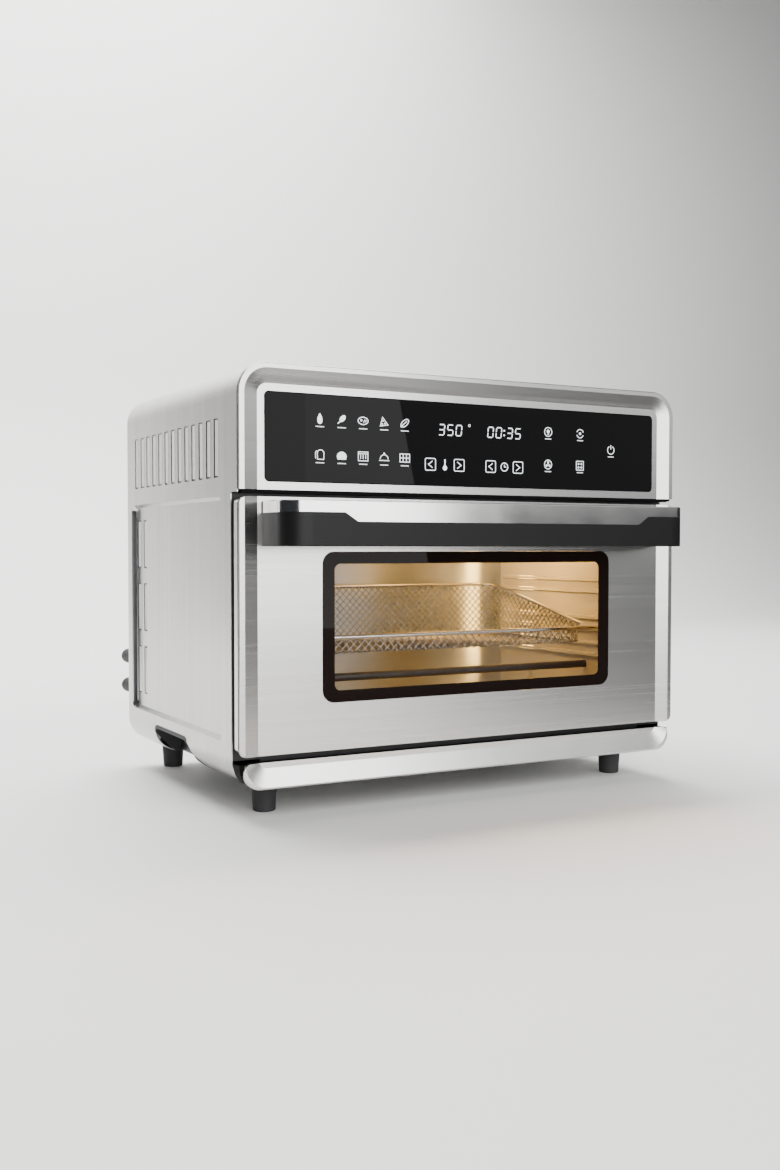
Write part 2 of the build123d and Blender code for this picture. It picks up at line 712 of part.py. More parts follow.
def make_temperature_probe():
    """Sensor tube through the back wall."""
    return rod_y(PROBE_X, PROBE_TIP_Y, CAVITY_BACK + PROBE_TAIL, PROBE_Z, PROBE_R)


def make_thermal_cutout():
    """Disc cut-out on the ceiling's outside."""
    base = CAVITY_Z[1] + 1
    return rod_z(*CUTOUT_POS, base, base + CUTOUT_H, CUTOUT_R)


def make_door_switch():
    """Door switch body with the plunger's bore."""
    width = (SWITCH_X - SWITCH_HALF, SWITCH_X + SWITCH_HALF)
    body = block(width, (FRAME_Y[1], SWITCH_BACK), (CAVITY_Z[1] + 1, SWITCH_Z + SWITCH_UP))
    return body - rod_y(SWITCH_X, FRAME_Y[1] - 1, PLUNGER_Y[1] + 1, SWITCH_Z, PLUNGER_R + PIN_PLAY)


def make_switch_plunger():
    """Round plunger that the closed door holds in."""
    return rod_y(SWITCH_X, *PLUNGER_Y, SWITCH_Z, PLUNGER_R)


def make_crumb_tray():
    """Shallow tray on the cavity floor."""
    tray = block((-TRAY_X, TRAY_X), TRAY_Y, (TRAY_Z, TRAY_Z + TRAY_H))
    inside = block((-TRAY_X + 1, TRAY_X - 1), (TRAY_Y[0] + 1, TRAY_Y[1] - 1), (TRAY_Z + 0.8, TRAY_Z + 10))
    return tray - inside


def rim_ends():
    """Middles of the rim's front and back wires, which run out to the rails as ears."""
    return [RIM_PLANE.from_local_coords((0, y, RIM_WIRE_R)) for y in (-RIM_OUT, RIM_SLOPE.length + RIM_OUT)]


def bowl_solid(shrink, floor):
    """A drafted block with the bowl's outline, drawn in by shrink and higher than the rim."""
    middle = Pos(0, (BOWL_TOP_Y[0] + BOWL_TOP_Y[1]) / 2)
    width = 2 * BOWL_TOP_X - 2 * shrink
    length = BOWL_TOP_Y[1] - BOWL_TOP_Y[0] - 2 * shrink
    mouth = middle * RectangleRounded(width, length, BOWL_MOUTH_R - shrink)
    taper = 2 * BOWL_FLOOR_IN
    base = middle * RectangleRounded(width - taper, length - taper, BOWL_FLOOR_R - shrink)
    return loft([(Pos(0, 0, floor) * base).face(), (Pos(0, 0, BOWL_BLANK_TOP) * mouth).face()], ruled=True)


def on_rim(sketch, thickness):
    """A sketch about the rim's middle, raised from the rim's plane."""
    return extrude(RIM_PLANE * Pos(0, RIM_SLOPE.length / 2) * sketch, amount=thickness, dir=RIM_PLANE.z_dir)


def make_basket_bowl():
    """Basket bowl with a rim flange, drawn as a closed wall in nine panels: the floor, sides and corners."""
    beyond = BOWL_FLANGE + 1
    width = 2 * BOWL_TOP_X + 2 * BOWL_FLANGE
    length = RIM_SLOPE.length + 2 * BOWL_FLANGE
    above = on_rim(Rectangle(width + beyond, length + beyond), BOWL_BLANK_TOP - BOWL_FLOOR_Z)
    flange = on_rim(RectangleRounded(width, length, BOWL_MOUTH_R + BOWL_FLANGE), -BOWL_FLANGE_T)
    bowl = bowl_solid(0, BOWL_FLOOR_Z) - above + flange - bowl_solid(BOWL_T, BOWL_FLOOR_Z + BOWL_T)
    inset = BOWL_FLOOR_IN + BOWL_T + BOWL_PANEL_IN
    half = BOWL_TOP_X - inset
    y_low, y_high = BOWL_TOP_Y
    y_cuts = (y_low + inset, y_high - inset)
    x_bands = ((-BOWL_TOP_X - beyond, -half), (-half, half), (half, BOWL_TOP_X + beyond))
    y_bands = ((y_low - beyond, y_cuts[0]), y_cuts, (y_cuts[1], y_high + beyond))
    z = (BOWL_FLOOR_Z - 1, BOWL_BLANK_TOP)
    return group([bowl & block(x, y, z) for x in x_bands for y in y_bands])


def make_basket_rim():
    """Rim wire of the basket with quarter bends, its front and back wires run out to the rails as ears."""
    half = BOWL_TOP_X + RIM_OUT
    y_low = -RIM_OUT
    y_high = RIM_SLOPE.length + RIM_OUT
    reach = half - RIM_BEND
    loop = both_sides(rod_y(half, y_low + RIM_BEND, y_high - RIM_BEND, RIM_WIRE_R, RIM_WIRE_R))
    for y in (y_low, y_high):
        loop += rod_x(-EAR_END_X, EAR_END_X, y, RIM_WIRE_R, RIM_WIRE_R)
    bend = revolve(Plane.XZ * Pos(RIM_BEND, 0) * Circle(RIM_WIRE_R), Axis.Z, 90)
    corners = ((reach, y_high - RIM_BEND), (-reach, y_high - RIM_BEND), (-reach, y_low + RIM_BEND),
               (reach, y_low + RIM_BEND))
    for index, (x, y) in enumerate(corners):
        loop += Pos(x, y, RIM_WIRE_R) * Rot(0, 0, 90 * index) * bend
    return RIM_PLANE.location * loop


def hinge_slots():
    """The two places where the brackets reach into the door's lower edge."""
    return both_sides(block(HINGE_SLOT_X, (SKIN_BACK, PAN_BACK + 3), (DOOR_Z[0] - 2, HINGE_SLOT_TOP)))


def make_door_skin():
    """Brushed door skin with dished sides and the window's opening."""
    skin = softened_plate(front_rect(HALF_W, DOOR_Z, DOOR_R), SKIN_BACK) - dish()
    groove_z = (DOOR_Z[0] - 1, DOOR_Z[1] + 1)
    groove = block((HALF_W - LIP_GROOVE, HALF_W + 1), (LIP_BACK, SKIN_BACK + 1), groove_z)
    return skin - both_sides(groove) - in_front(front_rect(WINDOW_X, WINDOW_Z, WINDOW_R), -1, SKIN_BACK + 1)


def make_door_spacer():
    """Black spacer that shows as a dark seam between the skin and the pan."""
    inset = LIP_SHADOW
    edge = front_rect(HALF_W - inset, (DOOR_Z[0] + inset, DOOR_Z[1] - inset), 4)
    ring = in_front(edge, SKIN_BACK, PAN_FRONT)
    hole = front_rect(HALF_W - LIP_GROOVE, (DOOR_Z[0] + inset + 1.4, DOOR_Z[1] - 4), 3)
    ring -= in_front(hole, SKIN_BACK - 1, PAN_FRONT + 1)
    strip_z = (DOOR_Z[0] + 4, DOOR_Z[1] - 4)
    strip = block((HALF_W - LIP_GROOVE, HALF_W - LIP_SHADOW), (LIP_BACK, SKIN_BACK), strip_z)
    return ring + both_sides(strip)


def make_door_pan():
    """Door's inner pan with the pane's opening, hinge slots and arm slots."""
    z = (DOOR_Z[0] + PAN_BOTTOM_UP, DOOR_Z[1] - PAN_INSET)
    blank = in_front(front_rect(HALF_W - PAN_INSET, z, 5), PAN_FRONT, PAN_BACK)
    low_edge = blank.edges().filter_by(Axis.X).group_by(Axis.Z)[0].sort_by(Axis.Y)[-1]
    blank = chamfer(low_edge, PAN_CHAMFER)
    inside = front_rect(HALF_W - PAN_INSET - 1, (z[0] + 4.2, z[1] - 1), 4)
    blank -= in_front(inside, PAN_FRONT - 1, PAN_BACK - 1)
    blank -= in_front(front_rect(WINDOW_X, WINDOW_Z, WINDOW_R), PAN_FRONT, PAN_BACK + 1)
    arm_x = (ARM_X - ARM_SLOT_PLAY, ARM_X + ARM_T + ARM_SLOT_PLAY)
    blank -= both_sides(block(arm_x, (PAN_BACK - 3, PAN_BACK + 1), PAN_ARM_SLOT_Z))
    return blank - hinge_slots()


def make_window_border():
    """Black border of the window, flush with the skin."""
    outer = front_rect(WINDOW_X - 0.2, (WINDOW_Z[0] + 0.2, WINDOW_Z[1] - 0.2), WINDOW_R - 0.2)
    ring = in_front(outer, LAND_Y, SKIN_BACK)
    return ring - in_front(front_rect(CLEAR_X, CLEAR_Z, CLEAR_R), LAND_Y - 1, SKIN_BACK + 1)


def pane(lap, y0, thickness):
    """A clear pane that laps the window's opening."""
    z = (WINDOW_Z[0] - lap, WINDOW_Z[1] + lap)
    return in_front(front_rect(WINDOW_X + lap, z, 6), y0, y0 + thickness)


def make_door_glass():
    """Outer clear pane."""
    return pane(PANE_LAP, SKIN_BACK, OUTER_PANE_T)


def make_inner_glass():
    """Inner clear pane against the pan."""
    return pane(PANE_LAP + 3, PAN_BACK - 1 - PANE_GAP - INNER_PANE_T, INNER_PANE_T)


def make_door_seal():
    """Seal on the pan that meets the face plate."""
    ring = in_front(front_rect(SEAL_X[1], SEAL_Z, 6), PAN_BACK, PAN_BACK + SEAL_T)
    width = SEAL_X[1] - SEAL_X[0]
    hole = front_rect(SEAL_X[0], (SEAL_Z[0] + width, SEAL_Z[1] - width), 3)
    return ring - in_front(hole, PAN_BACK - 1, PAN_BACK + SEAL_T + 1)


def handle_plan(inset=0.0):
    """The handle's outer shape in plan: flat front, rounded front corners, square at the door."""
    front = HANDLE_FRONT + inset
    shape = Pos(0, (front + LAND_Y) / 2) * Rectangle(2 * (HANDLE_X - inset), LAND_Y - front)
    return fillet(shape.vertices().group_by(Axis.Y)[0], HANDLE_R - inset)


def trim_face():
    """Front view of the bright strip: shallow at the ends, deeper in the middle."""
    edge = HANDLE_X + 5
    inner, outer = TRIM_STEP_X
    top = HANDLE_Z[1] + 1
    points = [(-edge, top), (-edge, TRIM_END_Z), (-outer, TRIM_END_Z), (-inner, TRIM_MID_Z)]
    points += [(-x, z) for x, z in reversed(points)]
    return make_face(Polyline(*points, close=True))


def handle_blank():
    """The handle with its softened edges, before the strip is let in."""
    blank = from_top(handle_plan(), *HANDLE_Z)
    rim_edges = blank.edges().group_by(Axis.Z)
    front_only = [e for e in rim_edges[0] + rim_edges[-1] if e.center().Y < LAND_Y - 0.5]
    return fillet(front_only, 0.8)


def make_handle_trim():
    """Polished strip let into the handle's front."""
    strip = handle_blank() & in_front(trim_face(), HANDLE_FRONT - 1, LAND_Y - 2)
    return strip - from_top(handle_plan(TRIM_T), HANDLE_Z[0] - 1, HANDLE_Z[1] + 1)


def make_handle_bar():
    """Black handle bar with a finger gap behind it."""
    bar = handle_blank() - (in_front(trim_face(), HANDLE_FRONT - 1, LAND_Y - 2)
                            - from_top(handle_plan(TRIM_T), HANDLE_Z[0] - 1, HANDLE_Z[1] + 2))
    gap_front = HANDLE_FRONT + HANDLE_BAR_T
    gap_back = LAND_Y + 2
    gap_shape = Rectangle(2 * (HANDLE_X - HANDLE_POST_W), gap_back - gap_front)
    gap = Pos(0, (gap_front + gap_back) / 2) * gap_shape
    gap = fillet(gap.vertices().group_by(Axis.Y)[0], 9)
    return bar - from_top(gap, HANDLE_Z[0] - 2, HANDLE_Z[1] + 2)


def make_handle_screws():
    """Screws from inside the door into the handle's posts."""
    middle_z = (HANDLE_Z[0] + HANDLE_Z[1]) / 2
    heads = []
    for side in (-1, 1):
        heads.append(rod_y(side * (HANDLE_X - HANDLE_POST_W / 2), SKIN_BACK, SKIN_BACK + 3.2, middle_z, 4.5))
    return group(heads)


def sector_face():
    """The sector strip of the door arm, as (y, z) about the hinge."""
    first = 90.0 - ARM_SWEEP[0]
    turn = ARM_SWEEP[0] - ARM_SWEEP[1]
    inner, outer = (CenterArc((HINGE_Y, HINGE_Z), radius, first, turn) for radius in ARM_R)
    return make_face([inner, outer, Line(inner @ 0, outer @ 0), Line(inner @ 1, outer @ 1)])


def make_hinge_arm_left():
    """Flat door arm: an eye on the pin, a web in the door and a sector in the face plate's slot."""
    web = Pos(HINGE_Y, HINGE_Z + ARM_WEB_H / 2) * Rectangle(ARM_WEB_W, ARM_WEB_H)
    eye = Pos(HINGE_Y, HINGE_Z) * Circle(HINGE_EYE_R)
    plate = from_side(sector_face() + web + eye, -ARM_X - ARM_T, -ARM_X)
    return plate - rod_x(-ARM_X - 5, -ARM_X + 5, HINGE_Y, HINGE_Z, PIN_R + PIN_PLAY)


def make_hinge_arm_right():
    """Mirror of the left arm."""
    return mirror(make_hinge_arm_left(), about=Plane.YZ)


def make_hinge_bracket_left():
    """Bracket on the face plate that carries the pin."""
    eye = Pos(HINGE_Y, HINGE_Z) * Circle(HINGE_EYE_R)
    low = HINGE_Z - 2.4
    high = HINGE_Z + 9
    root = FRAME_Y[0]
    points = ((HINGE_Y, low), (root, low), (root, high), (HINGE_Y + 5, high), (HINGE_Y, HINGE_Z + 4.1))
    plate = from_side(eye + make_face(Polyline(*points, close=True)), -BRACKET_X - BRACKET_T, -BRACKET_X)
    foot = block((-BRACKET_X - 9, -BRACKET_X), (root - 1.0, root), (low, high))
    return plate + foot - rod_x(-BRACKET_X - 5, -BRACKET_X + 2, HINGE_Y, HINGE_Z, PIN_R)


def make_hinge_bracket_right():
    """Mirror of the left bracket."""
    return mirror(make_hinge_bracket_left(), about=Plane.YZ)


def make_hinge_pins():
    """Pins through the brackets and the door arms."""
    ends = [sorted((side * PIN_X[0], side * PIN_X[1])) for side in (-1, 1)]
    return group([rod_x(*end, HINGE_Y, HINGE_Z, PIN_R) for end in ends])


def make_door_springs():
    """Closing springs beside the cavity, drawn as plain coils' outer tubes."""
    section = Circle(SPRING_R[1]) - Circle(SPRING_R[0])
    middle = ARM_X + ARM_T / 2
    return group([in_front(Pos(x, SPRING_Z) * section, *SPRING_Y) for x in (-middle, middle)])


def make_feet():
    """Four tapered rubber feet."""
    feet = []
    for x in (-FOOT_X, FOOT_X):
        for y in FOOT_Y:
            foot = Pos(x, y, BODY_BOTTOM / 2) * Cone(FOOT_R[0], FOOT_R[1], BODY_BOTTOM)
            foot = fillet(foot.edges().group_by(Axis.Z)[0], 1.5)
            feet.append(foot + rod_z(x, y, BODY_BOTTOM - FOOT_FLANGE_T, BODY_BOTTOM, FOOT_FLANGE_R))
    return group(feet)


HEATERS = ("lower_heater_front", "lower_heater_rear", "upper_heater_front", "upper_heater_rear")

PIECES = {
    "outer_wrap": make_outer_wrap,
    "base_pan": make_base_pan,
    "rear_cover": make_rear_cover,
    "cord_gland": make_cord_gland,
    "rear_screws": make_rear_screws,
    "rear_spacers": make_rear_spacers,
    "front_frame": make_front_frame,
    "base_frame": make_base_frame,
    "sill": make_sill,
    "fascia": make_fascia,
    "fascia_carrier": make_fascia_carrier,
    "control_glass": make_control_glass,
    "display_board": make_display_board,
    "led_display": make_led_display,
    "power_board": make_power_board,
    "relays": make_relays,
    "cavity_left": make_cavity_left,
    "cavity_right": make_cavity_right,
    "cavity_back": make_cavity_back,
    "cavity_top": make_cavity_top,
    "cavity_floor": make_cavity_floor,
    "fan_guard": make_fan_guard,
    "fan_shroud": make_fan_shroud,
    "convection_fan": make_convection_fan,
    "cooling_fan": make_cooling_fan,
    "motor_shaft": make_motor_shaft,
    "fan_motor": make_fan_motor,
    "motor_bracket": make_motor_bracket,
    "heater_bushes": make_heater_bushes,
    "lamp_housing": make_lamp_housing,
    "lamp_bulb": make_lamp_bulb,
    "lamp_cover": make_lamp_cover,
    "temperature_probe": make_temperature_probe,
    "thermal_cutout": make_thermal_cutout,
    "door_switch": make_door_switch,
    "switch_plunger": make_switch_plunger,
    "crumb_tray": make_crumb_tray,
    "basket_bowl": make_basket_bowl,
    "basket_rim": make_basket_rim,
    "door_skin": make_door_skin,
    "door_spacer": make_door_spacer,
    "door_pan": make_door_pan,
    "window_border": make_window_border,
    "door_glass": make_door_glass,
    "inner_glass": make_inner_glass,
    "door_seal": make_door_seal,
    "handle_bar": make_handle_bar,
    "handle_trim": make_handle_trim,
    "handle_screws": make_handle_screws,
    "hinge_arm_left": make_hinge_arm_left,
    "hinge_arm_right": make_hinge_arm_right,
    "hinge_bracket_left": make_hinge_bracket_left,
    "hinge_bracket_right": make_hinge_bracket_right,
    "hinge_pins": make_hinge_pins,
    "door_springs": make_door_springs,
    "feet": make_feet,
}

os.makedirs("parts", exist_ok=True)
solids = {node: make() for node, make in PIECES.items()}
for node, place in zip(HEATERS, rod_places()):
    solids[node] = heater_rod(place)
for node, solid in solids.items():
    export_step(Pos(0, -DEPTH_MID, 0) * solid, f"parts/{node}.step")
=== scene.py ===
import math

import bpy
import numpy as np
from bpy.props import FloatProperty, FloatVectorProperty, PointerProperty, StringProperty
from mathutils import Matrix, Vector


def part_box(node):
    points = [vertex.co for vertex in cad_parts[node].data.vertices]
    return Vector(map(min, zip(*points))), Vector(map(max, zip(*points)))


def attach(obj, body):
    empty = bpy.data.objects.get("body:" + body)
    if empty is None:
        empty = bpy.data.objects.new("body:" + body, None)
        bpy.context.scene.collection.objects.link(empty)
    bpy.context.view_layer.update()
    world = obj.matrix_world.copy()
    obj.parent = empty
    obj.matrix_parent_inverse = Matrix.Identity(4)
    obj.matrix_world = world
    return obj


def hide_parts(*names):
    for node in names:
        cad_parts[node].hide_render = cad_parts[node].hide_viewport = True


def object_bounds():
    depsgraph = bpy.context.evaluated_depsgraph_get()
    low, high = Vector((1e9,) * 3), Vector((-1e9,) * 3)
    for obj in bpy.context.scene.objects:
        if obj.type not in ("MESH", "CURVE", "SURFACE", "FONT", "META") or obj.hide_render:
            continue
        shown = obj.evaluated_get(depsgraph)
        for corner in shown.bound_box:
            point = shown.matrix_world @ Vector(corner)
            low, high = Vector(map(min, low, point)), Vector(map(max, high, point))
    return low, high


bl_info = {
    "name": "Countertop Oven",
    "version": (1, 0, 0),
    "blender": (4, 5, 0),
    "location": "View3D > Sidebar > Oven",
    "description": "Dresses a countertop oven: brushed steel, lit touch panel, woven basket and a studio",
    "category": "Add Mesh",
}

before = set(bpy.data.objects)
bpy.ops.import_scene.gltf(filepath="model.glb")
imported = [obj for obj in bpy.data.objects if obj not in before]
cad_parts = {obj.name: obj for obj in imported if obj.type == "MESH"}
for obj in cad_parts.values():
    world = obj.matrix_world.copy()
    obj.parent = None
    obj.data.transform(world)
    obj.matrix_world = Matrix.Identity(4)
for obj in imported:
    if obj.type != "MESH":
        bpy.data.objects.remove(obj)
CAD_LOW, CAD_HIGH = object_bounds()
BOWL_LOW, BOWL_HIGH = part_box("basket_bowl")
RIM_LOW, RIM_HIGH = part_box("basket_rim")
SCREWS_LOW, SCREWS_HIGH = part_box("rear_screws")
LAMP_LOW, LAMP_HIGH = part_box("lamp_cover")
GLASS_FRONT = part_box("control_glass")[0].y
WRAP_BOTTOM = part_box("outer_wrap")[0].z
PAN_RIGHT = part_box("base_pan")[1].x
MM = 0.001

# Counts of the basket's weave
WIRE_SIDES = 6
BEND_STEPS = 12
WALL_STEPS = 10
FLOOR_SAMPLES = 400
CLIMB_SAMPLES = 200
SHORTEST_WIRE = 3

# From the middle of the wall's weave to each family of its wires, in wire radii
WALL_GAP = 1.2

# Rings of a screw head in head radii, close at the cross's ends and at the rim
HEAD_RINGS = (0.0001, 0.12, 0.2, 0.3, 0.42, 0.55, 0.57, 0.75, 0.9, 0.97, 1.0, 1.0)
HEAD_SIDES = 48

# Soft lights: place in metres, turn in degrees from facing down, size in metres, power in watts
CARDS = {
    "front_card": ((-0.35, -2.1, 1.05), (90, -11.6, 0), (2.5, 2.9), 130),
    "overhead_card": ((0.1, 1.15, 2.3), (0, 0, 0), (2.4, 1.8), 180),
    "left_card": ((-1.57, 1.585, 0.8), (90, 0, -138.5), (0.4, 1.6), 7),
    "right_card": ((1.75, -1.55, 1.0), (90, 0, 48.6), (2.5, 1.3), 12),
}


# Colour, node and mesh helpers

def linear(colour):
    """sRGB hex to linear RGBA: c / 12.92 in the toe, ((c + 0.055) / 1.055) ** 2.4 above it."""
    code = colour.lstrip("#")
    value = np.array([int(code[i:i + 2], 16) for i in (0, 2, 4)]) / 255.0
    toe = value / 12.92
    curve = ((value + 0.055) / 1.055) ** 2.4
    return (*np.where(value <= 0.04045, toe, curve).tolist(), 1.0)


def add(tree, kind, inputs, **settings):
    """Add one node with its settings. An input that is a socket is linked, any other value is set."""
    node = tree.nodes.new(kind)
    for key, value in settings.items():
        setattr(node, key, value)
    for key, value in inputs.items():
        if isinstance(value, bpy.types.NodeSocket):
            tree.links.new(value, node.inputs[key])
        else:
            node.inputs[key].default_value = value
    return node


def tones(colour, shade):
    """A Mix node's two colours, its inputs 6 and 7: a colour darkened to a share of itself, and full."""
    full = linear(colour)
    return {6: (*(channel * shade for channel in full[:3]), 1.0), 7: full}


def blank(name):
    """A new material with nothing in it but Object coordinates: it, its node tree and those."""
    material = bpy.data.materials.new(name)
    material.use_nodes = True
    tree = material.node_tree
    tree.nodes.clear()
    return material, tree, add(tree, "ShaderNodeTexCoord", {}).outputs["Object"]


def uneven(tree, gloss, low, high, tone, colour, shade):
    """Sockets of an uneven finish, by two patterns from 0 to 1.

    The gloss pattern takes the roughness from low to high, the tone pattern the colour from shaded to full.
    """
    rough = add(tree, "ShaderNodeMapRange", {"Value": gloss, "To Min": low, "To Max": high})
    blend = add(tree, "ShaderNodeMix", {"Factor": tone, **tones(colour, shade)}, data_type="RGBA")
    return {"Roughness": rough.outputs[0], "Base Color": blend.outputs[2]}


def finished(material, sockets):
    """The material, closed by one Principled shader with its sockets set or linked."""
    tree = material.node_tree
    shader = add(tree, "ShaderNodeBsdfPrincipled", sockets)
    add(tree, "ShaderNodeOutputMaterial", {"Surface": shader.outputs[0]})
    return material


def coat(names, material):
    """Give the named CAD nodes a material through their slots."""
    for name in names:
        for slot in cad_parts[name].material_slots:
            slot.material = material


def grid_faces(rows, columns, wrap_rows, wrap_columns):
    """Quads of a grid of rows by columns points, closed on itself where it wraps."""
    i = np.arange(rows if wrap_rows else rows - 1)[:, None]
    j = np.arange(columns if wrap_columns else columns - 1)[None, :]
    i_next = (i + 1) % rows
    j_next = (j + 1) % columns
    quads = [i * columns + j, i * columns + j_next, i_next * columns + j_next, i_next * columns + j]
    return np.stack([np.broadcast_to(q, (i.size, j.size)) for q in quads], axis=-1).reshape(-1, 4)


def swept(paths, radius, sides):
    """Round tubes: a circle of the radius carried along each path of an (n, points, 3) array.

    Each ring is path + radius * (cos a * side + sin a * up), square to the path's direction.
    Returns points, quads and end caps.
    """
    paths = np.asarray(paths, float)
    count, steps, _ = paths.shape
    along = np.gradient(paths, axis=1)
    along /= np.linalg.norm(along, axis=2, keepdims=True)
    guide = np.where(np.abs(along[..., 2:3]) > 0.9, [1.0, 0.0, 0.0], [0.0, 0.0, 1.0])
    side = np.cross(along, guide)
    side /= np.linalg.norm(side, axis=2, keepdims=True)
    up = np.cross(side, along)
    turn = np.arange(sides) * 2 * math.pi / sides
    ring = np.cos(turn)[:, None] * side[:, :, None, :] + np.sin(turn)[:, None] * up[:, :, None, :]
    points = (paths[:, :, None, :] + radius * ring).reshape(-1, 3)
    quads = grid_faces(steps, sides, False, True)
    offset = np.arange(count)[:, None] * steps * sides
    faces = (quads[None] + offset[:, :, None]).reshape(-1, 4)
    first = np.arange(sides)[None, :] + offset
    last = first[:, ::-1] + (steps - 1) * sides
    return points, faces.tolist() + first.tolist() + last.tolist()


def joined(parts):
    """Several (points, faces) sets as one."""
    points = []
    faces = []
    start = 0
    for part_points, part_faces in parts:
        points.append(part_points)
        faces += [[index + start for index in face] for face in part_faces]
        start += len(part_points)
    return np.concatenate(points), faces


def piece(name, shape, body, material, replaces=(), smooth=True):
    """A new object from points and faces, riding on a body and what it stands for."""
    points, faces = shape
    mesh = bpy.data.meshes.new(name)
    mesh.from_pydata(np.asarray(points).tolist(), [], faces)
    mesh.validate()
    mesh.polygons.foreach_set("use_smooth", np.full(len(mesh.polygons), smooth))
    mesh.materials.append(material)
    made = bpy.data.objects.new(name, mesh)
    bpy.context.scene.collection.objects.link(made)
    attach(made, body)
    if replaces:
        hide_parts(*replaces)
    return made


# Materials

# Streak size in mm along X, Y and Z, roughness, anisotropy, its turn and shade of the brushed sheets
BRUSHED = {
    "brushed_stainless_level": ((333, 333, 1.43), 0.26, 0.35, 0.25, 0.88),
    "brushed_stainless_wrapped": ((333, 2.86, 333), 0.24, 0.35, 0.0, 0.74),
    "brushed_cavity_back": ((111, 111, 2.0), 0.3, 1.0, 0.25, 0.9),
}

# Metallic, roughness, patch width in mm and shade of the plainer finishes, with what each gives the eye
PLAIN = {
    "zinc_plated_sheet": (0.9, 0.38, 12, 0.85),  # cool satin grey, softly clouded
    # Black enamel, and on the face plate partly painted shade: it keeps the gap under the fascia as dark as
    # its shadow
    "black_enamel_and_gap_shade": (0.0, 0.45, 20, 0.8),  # fired black, its soft gloss a little wavy
    "pressed_aluminium": (1.0, 0.35, 15, 0.9),  # bright grey, dulled by the press
    "green_laminate": (0.0, 0.4, 6, 0.8),  # solder mask, finely uneven
    "glazed_steatite": (0.0, 0.3, 5, 0.94),  # cream ceramic with a wet gloss
    "oxidised_heater_sheath": (0.7, 0.45, 9, 0.7),  # fired dark, a blotched brown satin
}


def brushed_steel(name, colour):
    """304 stainless sheet, belt brushed: long streaks that vary the gloss, over patches three times as large.

    The real scratches are finer than a pixel, so the streaks are drawn 1.4 to 3 mm wide to show.
    """
    streak_mm, roughness, anisotropy, turn, shade = BRUSHED[name]
    material, tree, place = blank(name)
    fine = add(tree, "ShaderNodeMapping", {"Vector": place, "Scale": [1 / (size * MM) for size in streak_mm]})
    streak = add(tree, "ShaderNodeTexNoise", {"Vector": fine.outputs[0], "Scale": 1.0, "Detail": 3.0})
    patch = add(tree, "ShaderNodeTexNoise", {"Vector": fine.outputs[0], "Scale": 1 / 3, "Detail": 1.0})
    gloss = streak.outputs[0]
    relief = add(tree, "ShaderNodeBump", {"Height": gloss, "Distance": 0.02 * MM, "Strength": 0.12})
    look = uneven(tree, gloss, roughness - 0.04, roughness + 0.04, patch.outputs[0], colour, shade)
    return finished(material, {"Metallic": 1.0, "Anisotropic": anisotropy, "Anisotropic Rotation": turn,
                               "Normal": relief.outputs[0], **look})


def bright_steel(name, colour, roughness):
    """Stainless buffed after brushing: near mirror, with faint clouding 30 mm across."""
    material, tree, place = blank(name)
    cloud = add(tree, "ShaderNodeTexNoise", {"Vector": place, "Scale": 1 / (30 * MM), "Detail": 2.0})
    cover = cloud.outputs[0]
    look = uneven(tree, cover, roughness - 0.03, roughness + 0.05, cover, colour, 0.93)
    return finished(material, {"Metallic": 1.0, **look})


def aluminised_steel(name, colour):
    """Hot dipped aluminised sheet: soft satin with a spangle 4 mm across, lightly browned by heat."""
    material, tree, place = blank(name)
    spangle = add(tree, "ShaderNodeTexVoronoi", {"Vector": place, "Scale": 1 / (4 * MM)})
    tarnish = add(tree, "ShaderNodeTexNoise", {"Vector": place, "Scale": 1 / (60 * MM), "Detail": 4.0})
    look = uneven(tree, spangle.outputs["Color"], 0.3, 0.42, tarnish.outputs[0], colour, 0.8)
    return finished(material, {"Metallic": 0.75, **look})


def moulded_plastic(name, colour, roughness, gloss=0.2):
    """Plastic or rubber from a spark eroded mould: a fine matt grain, drawn 0.6 mm wide so that it shows."""
    material, tree, place = blank(name)
    grain = add(tree, "ShaderNodeTexNoise", {"Vector": place, "Scale": 1 / (0.6 * MM), "Detail": 2.0})
    height = grain.outputs[0]
    relief = add(tree, "ShaderNodeBump", {"Height": height, "Distance": 0.03 * MM, "Strength": 0.25})
    look = uneven(tree, height, roughness - 0.06, roughness + 0.08, height, colour, 0.85)
    return finished(material, {"IOR": 1.5, "Specular IOR Level": gloss, "Normal": relief.outputs[0], **look})


def plain_finish(name, colour):
    """Sheet, board or casting with soft patches in its colour and gloss, by its row in PLAIN."""
    metallic, roughness, patch_mm, shade = PLAIN[name]
    material, tree, place = blank(name)
    patch = add(tree, "ShaderNodeTexNoise", {"Vector": place, "Scale": 1 / (patch_mm * MM), "Detail": 3.0})
    cover = patch.outputs[0]
    look = uneven(tree, cover, roughness - 0.06, roughness + 0.06, cover, colour, shade)
    return finished(material, {"Metallic": metallic, **look})


def printed_glass(name, colour):
    """Float glass printed black on its back: a deep mirror gloss with dust 2 mm apart dulling it a little."""
    material, tree, place = blank(name)
    dust = add(tree, "ShaderNodeTexNoise", {"Vector": place, "Scale": 1 / (2 * MM), "Detail": 3.0})
    rough = add(tree, "ShaderNodeMapRange", {"Value": dust.outputs[0], "To Min": 0.0, "To Max": 0.02})
    return finished(material, {"Base Color": linear(colour), "IOR": 1.52, "Specular IOR Level": 0.06,
                               "Roughness": rough.outputs[0]})


def clear_glass(name, colour, alpha):
    """Tempered pane: see-through, with its gloss on the surface, faintly smeared every 25 mm."""
    material, tree, place = blank(name)
    smear = add(tree, "ShaderNodeTexNoise", {"Vector": place, "Scale": 1 / (25 * MM), "Detail": 2.0})
    rough = add(tree, "ShaderNodeMapRange", {"Value": smear.outputs[0], "To Min": 0.02, "To Max": 0.08})
    return finished(material, {"Base Color": linear(colour), "IOR": 1.52, "Specular IOR Level": 0.1,
                               "Alpha": alpha, "Roughness": rough.outputs[0]})


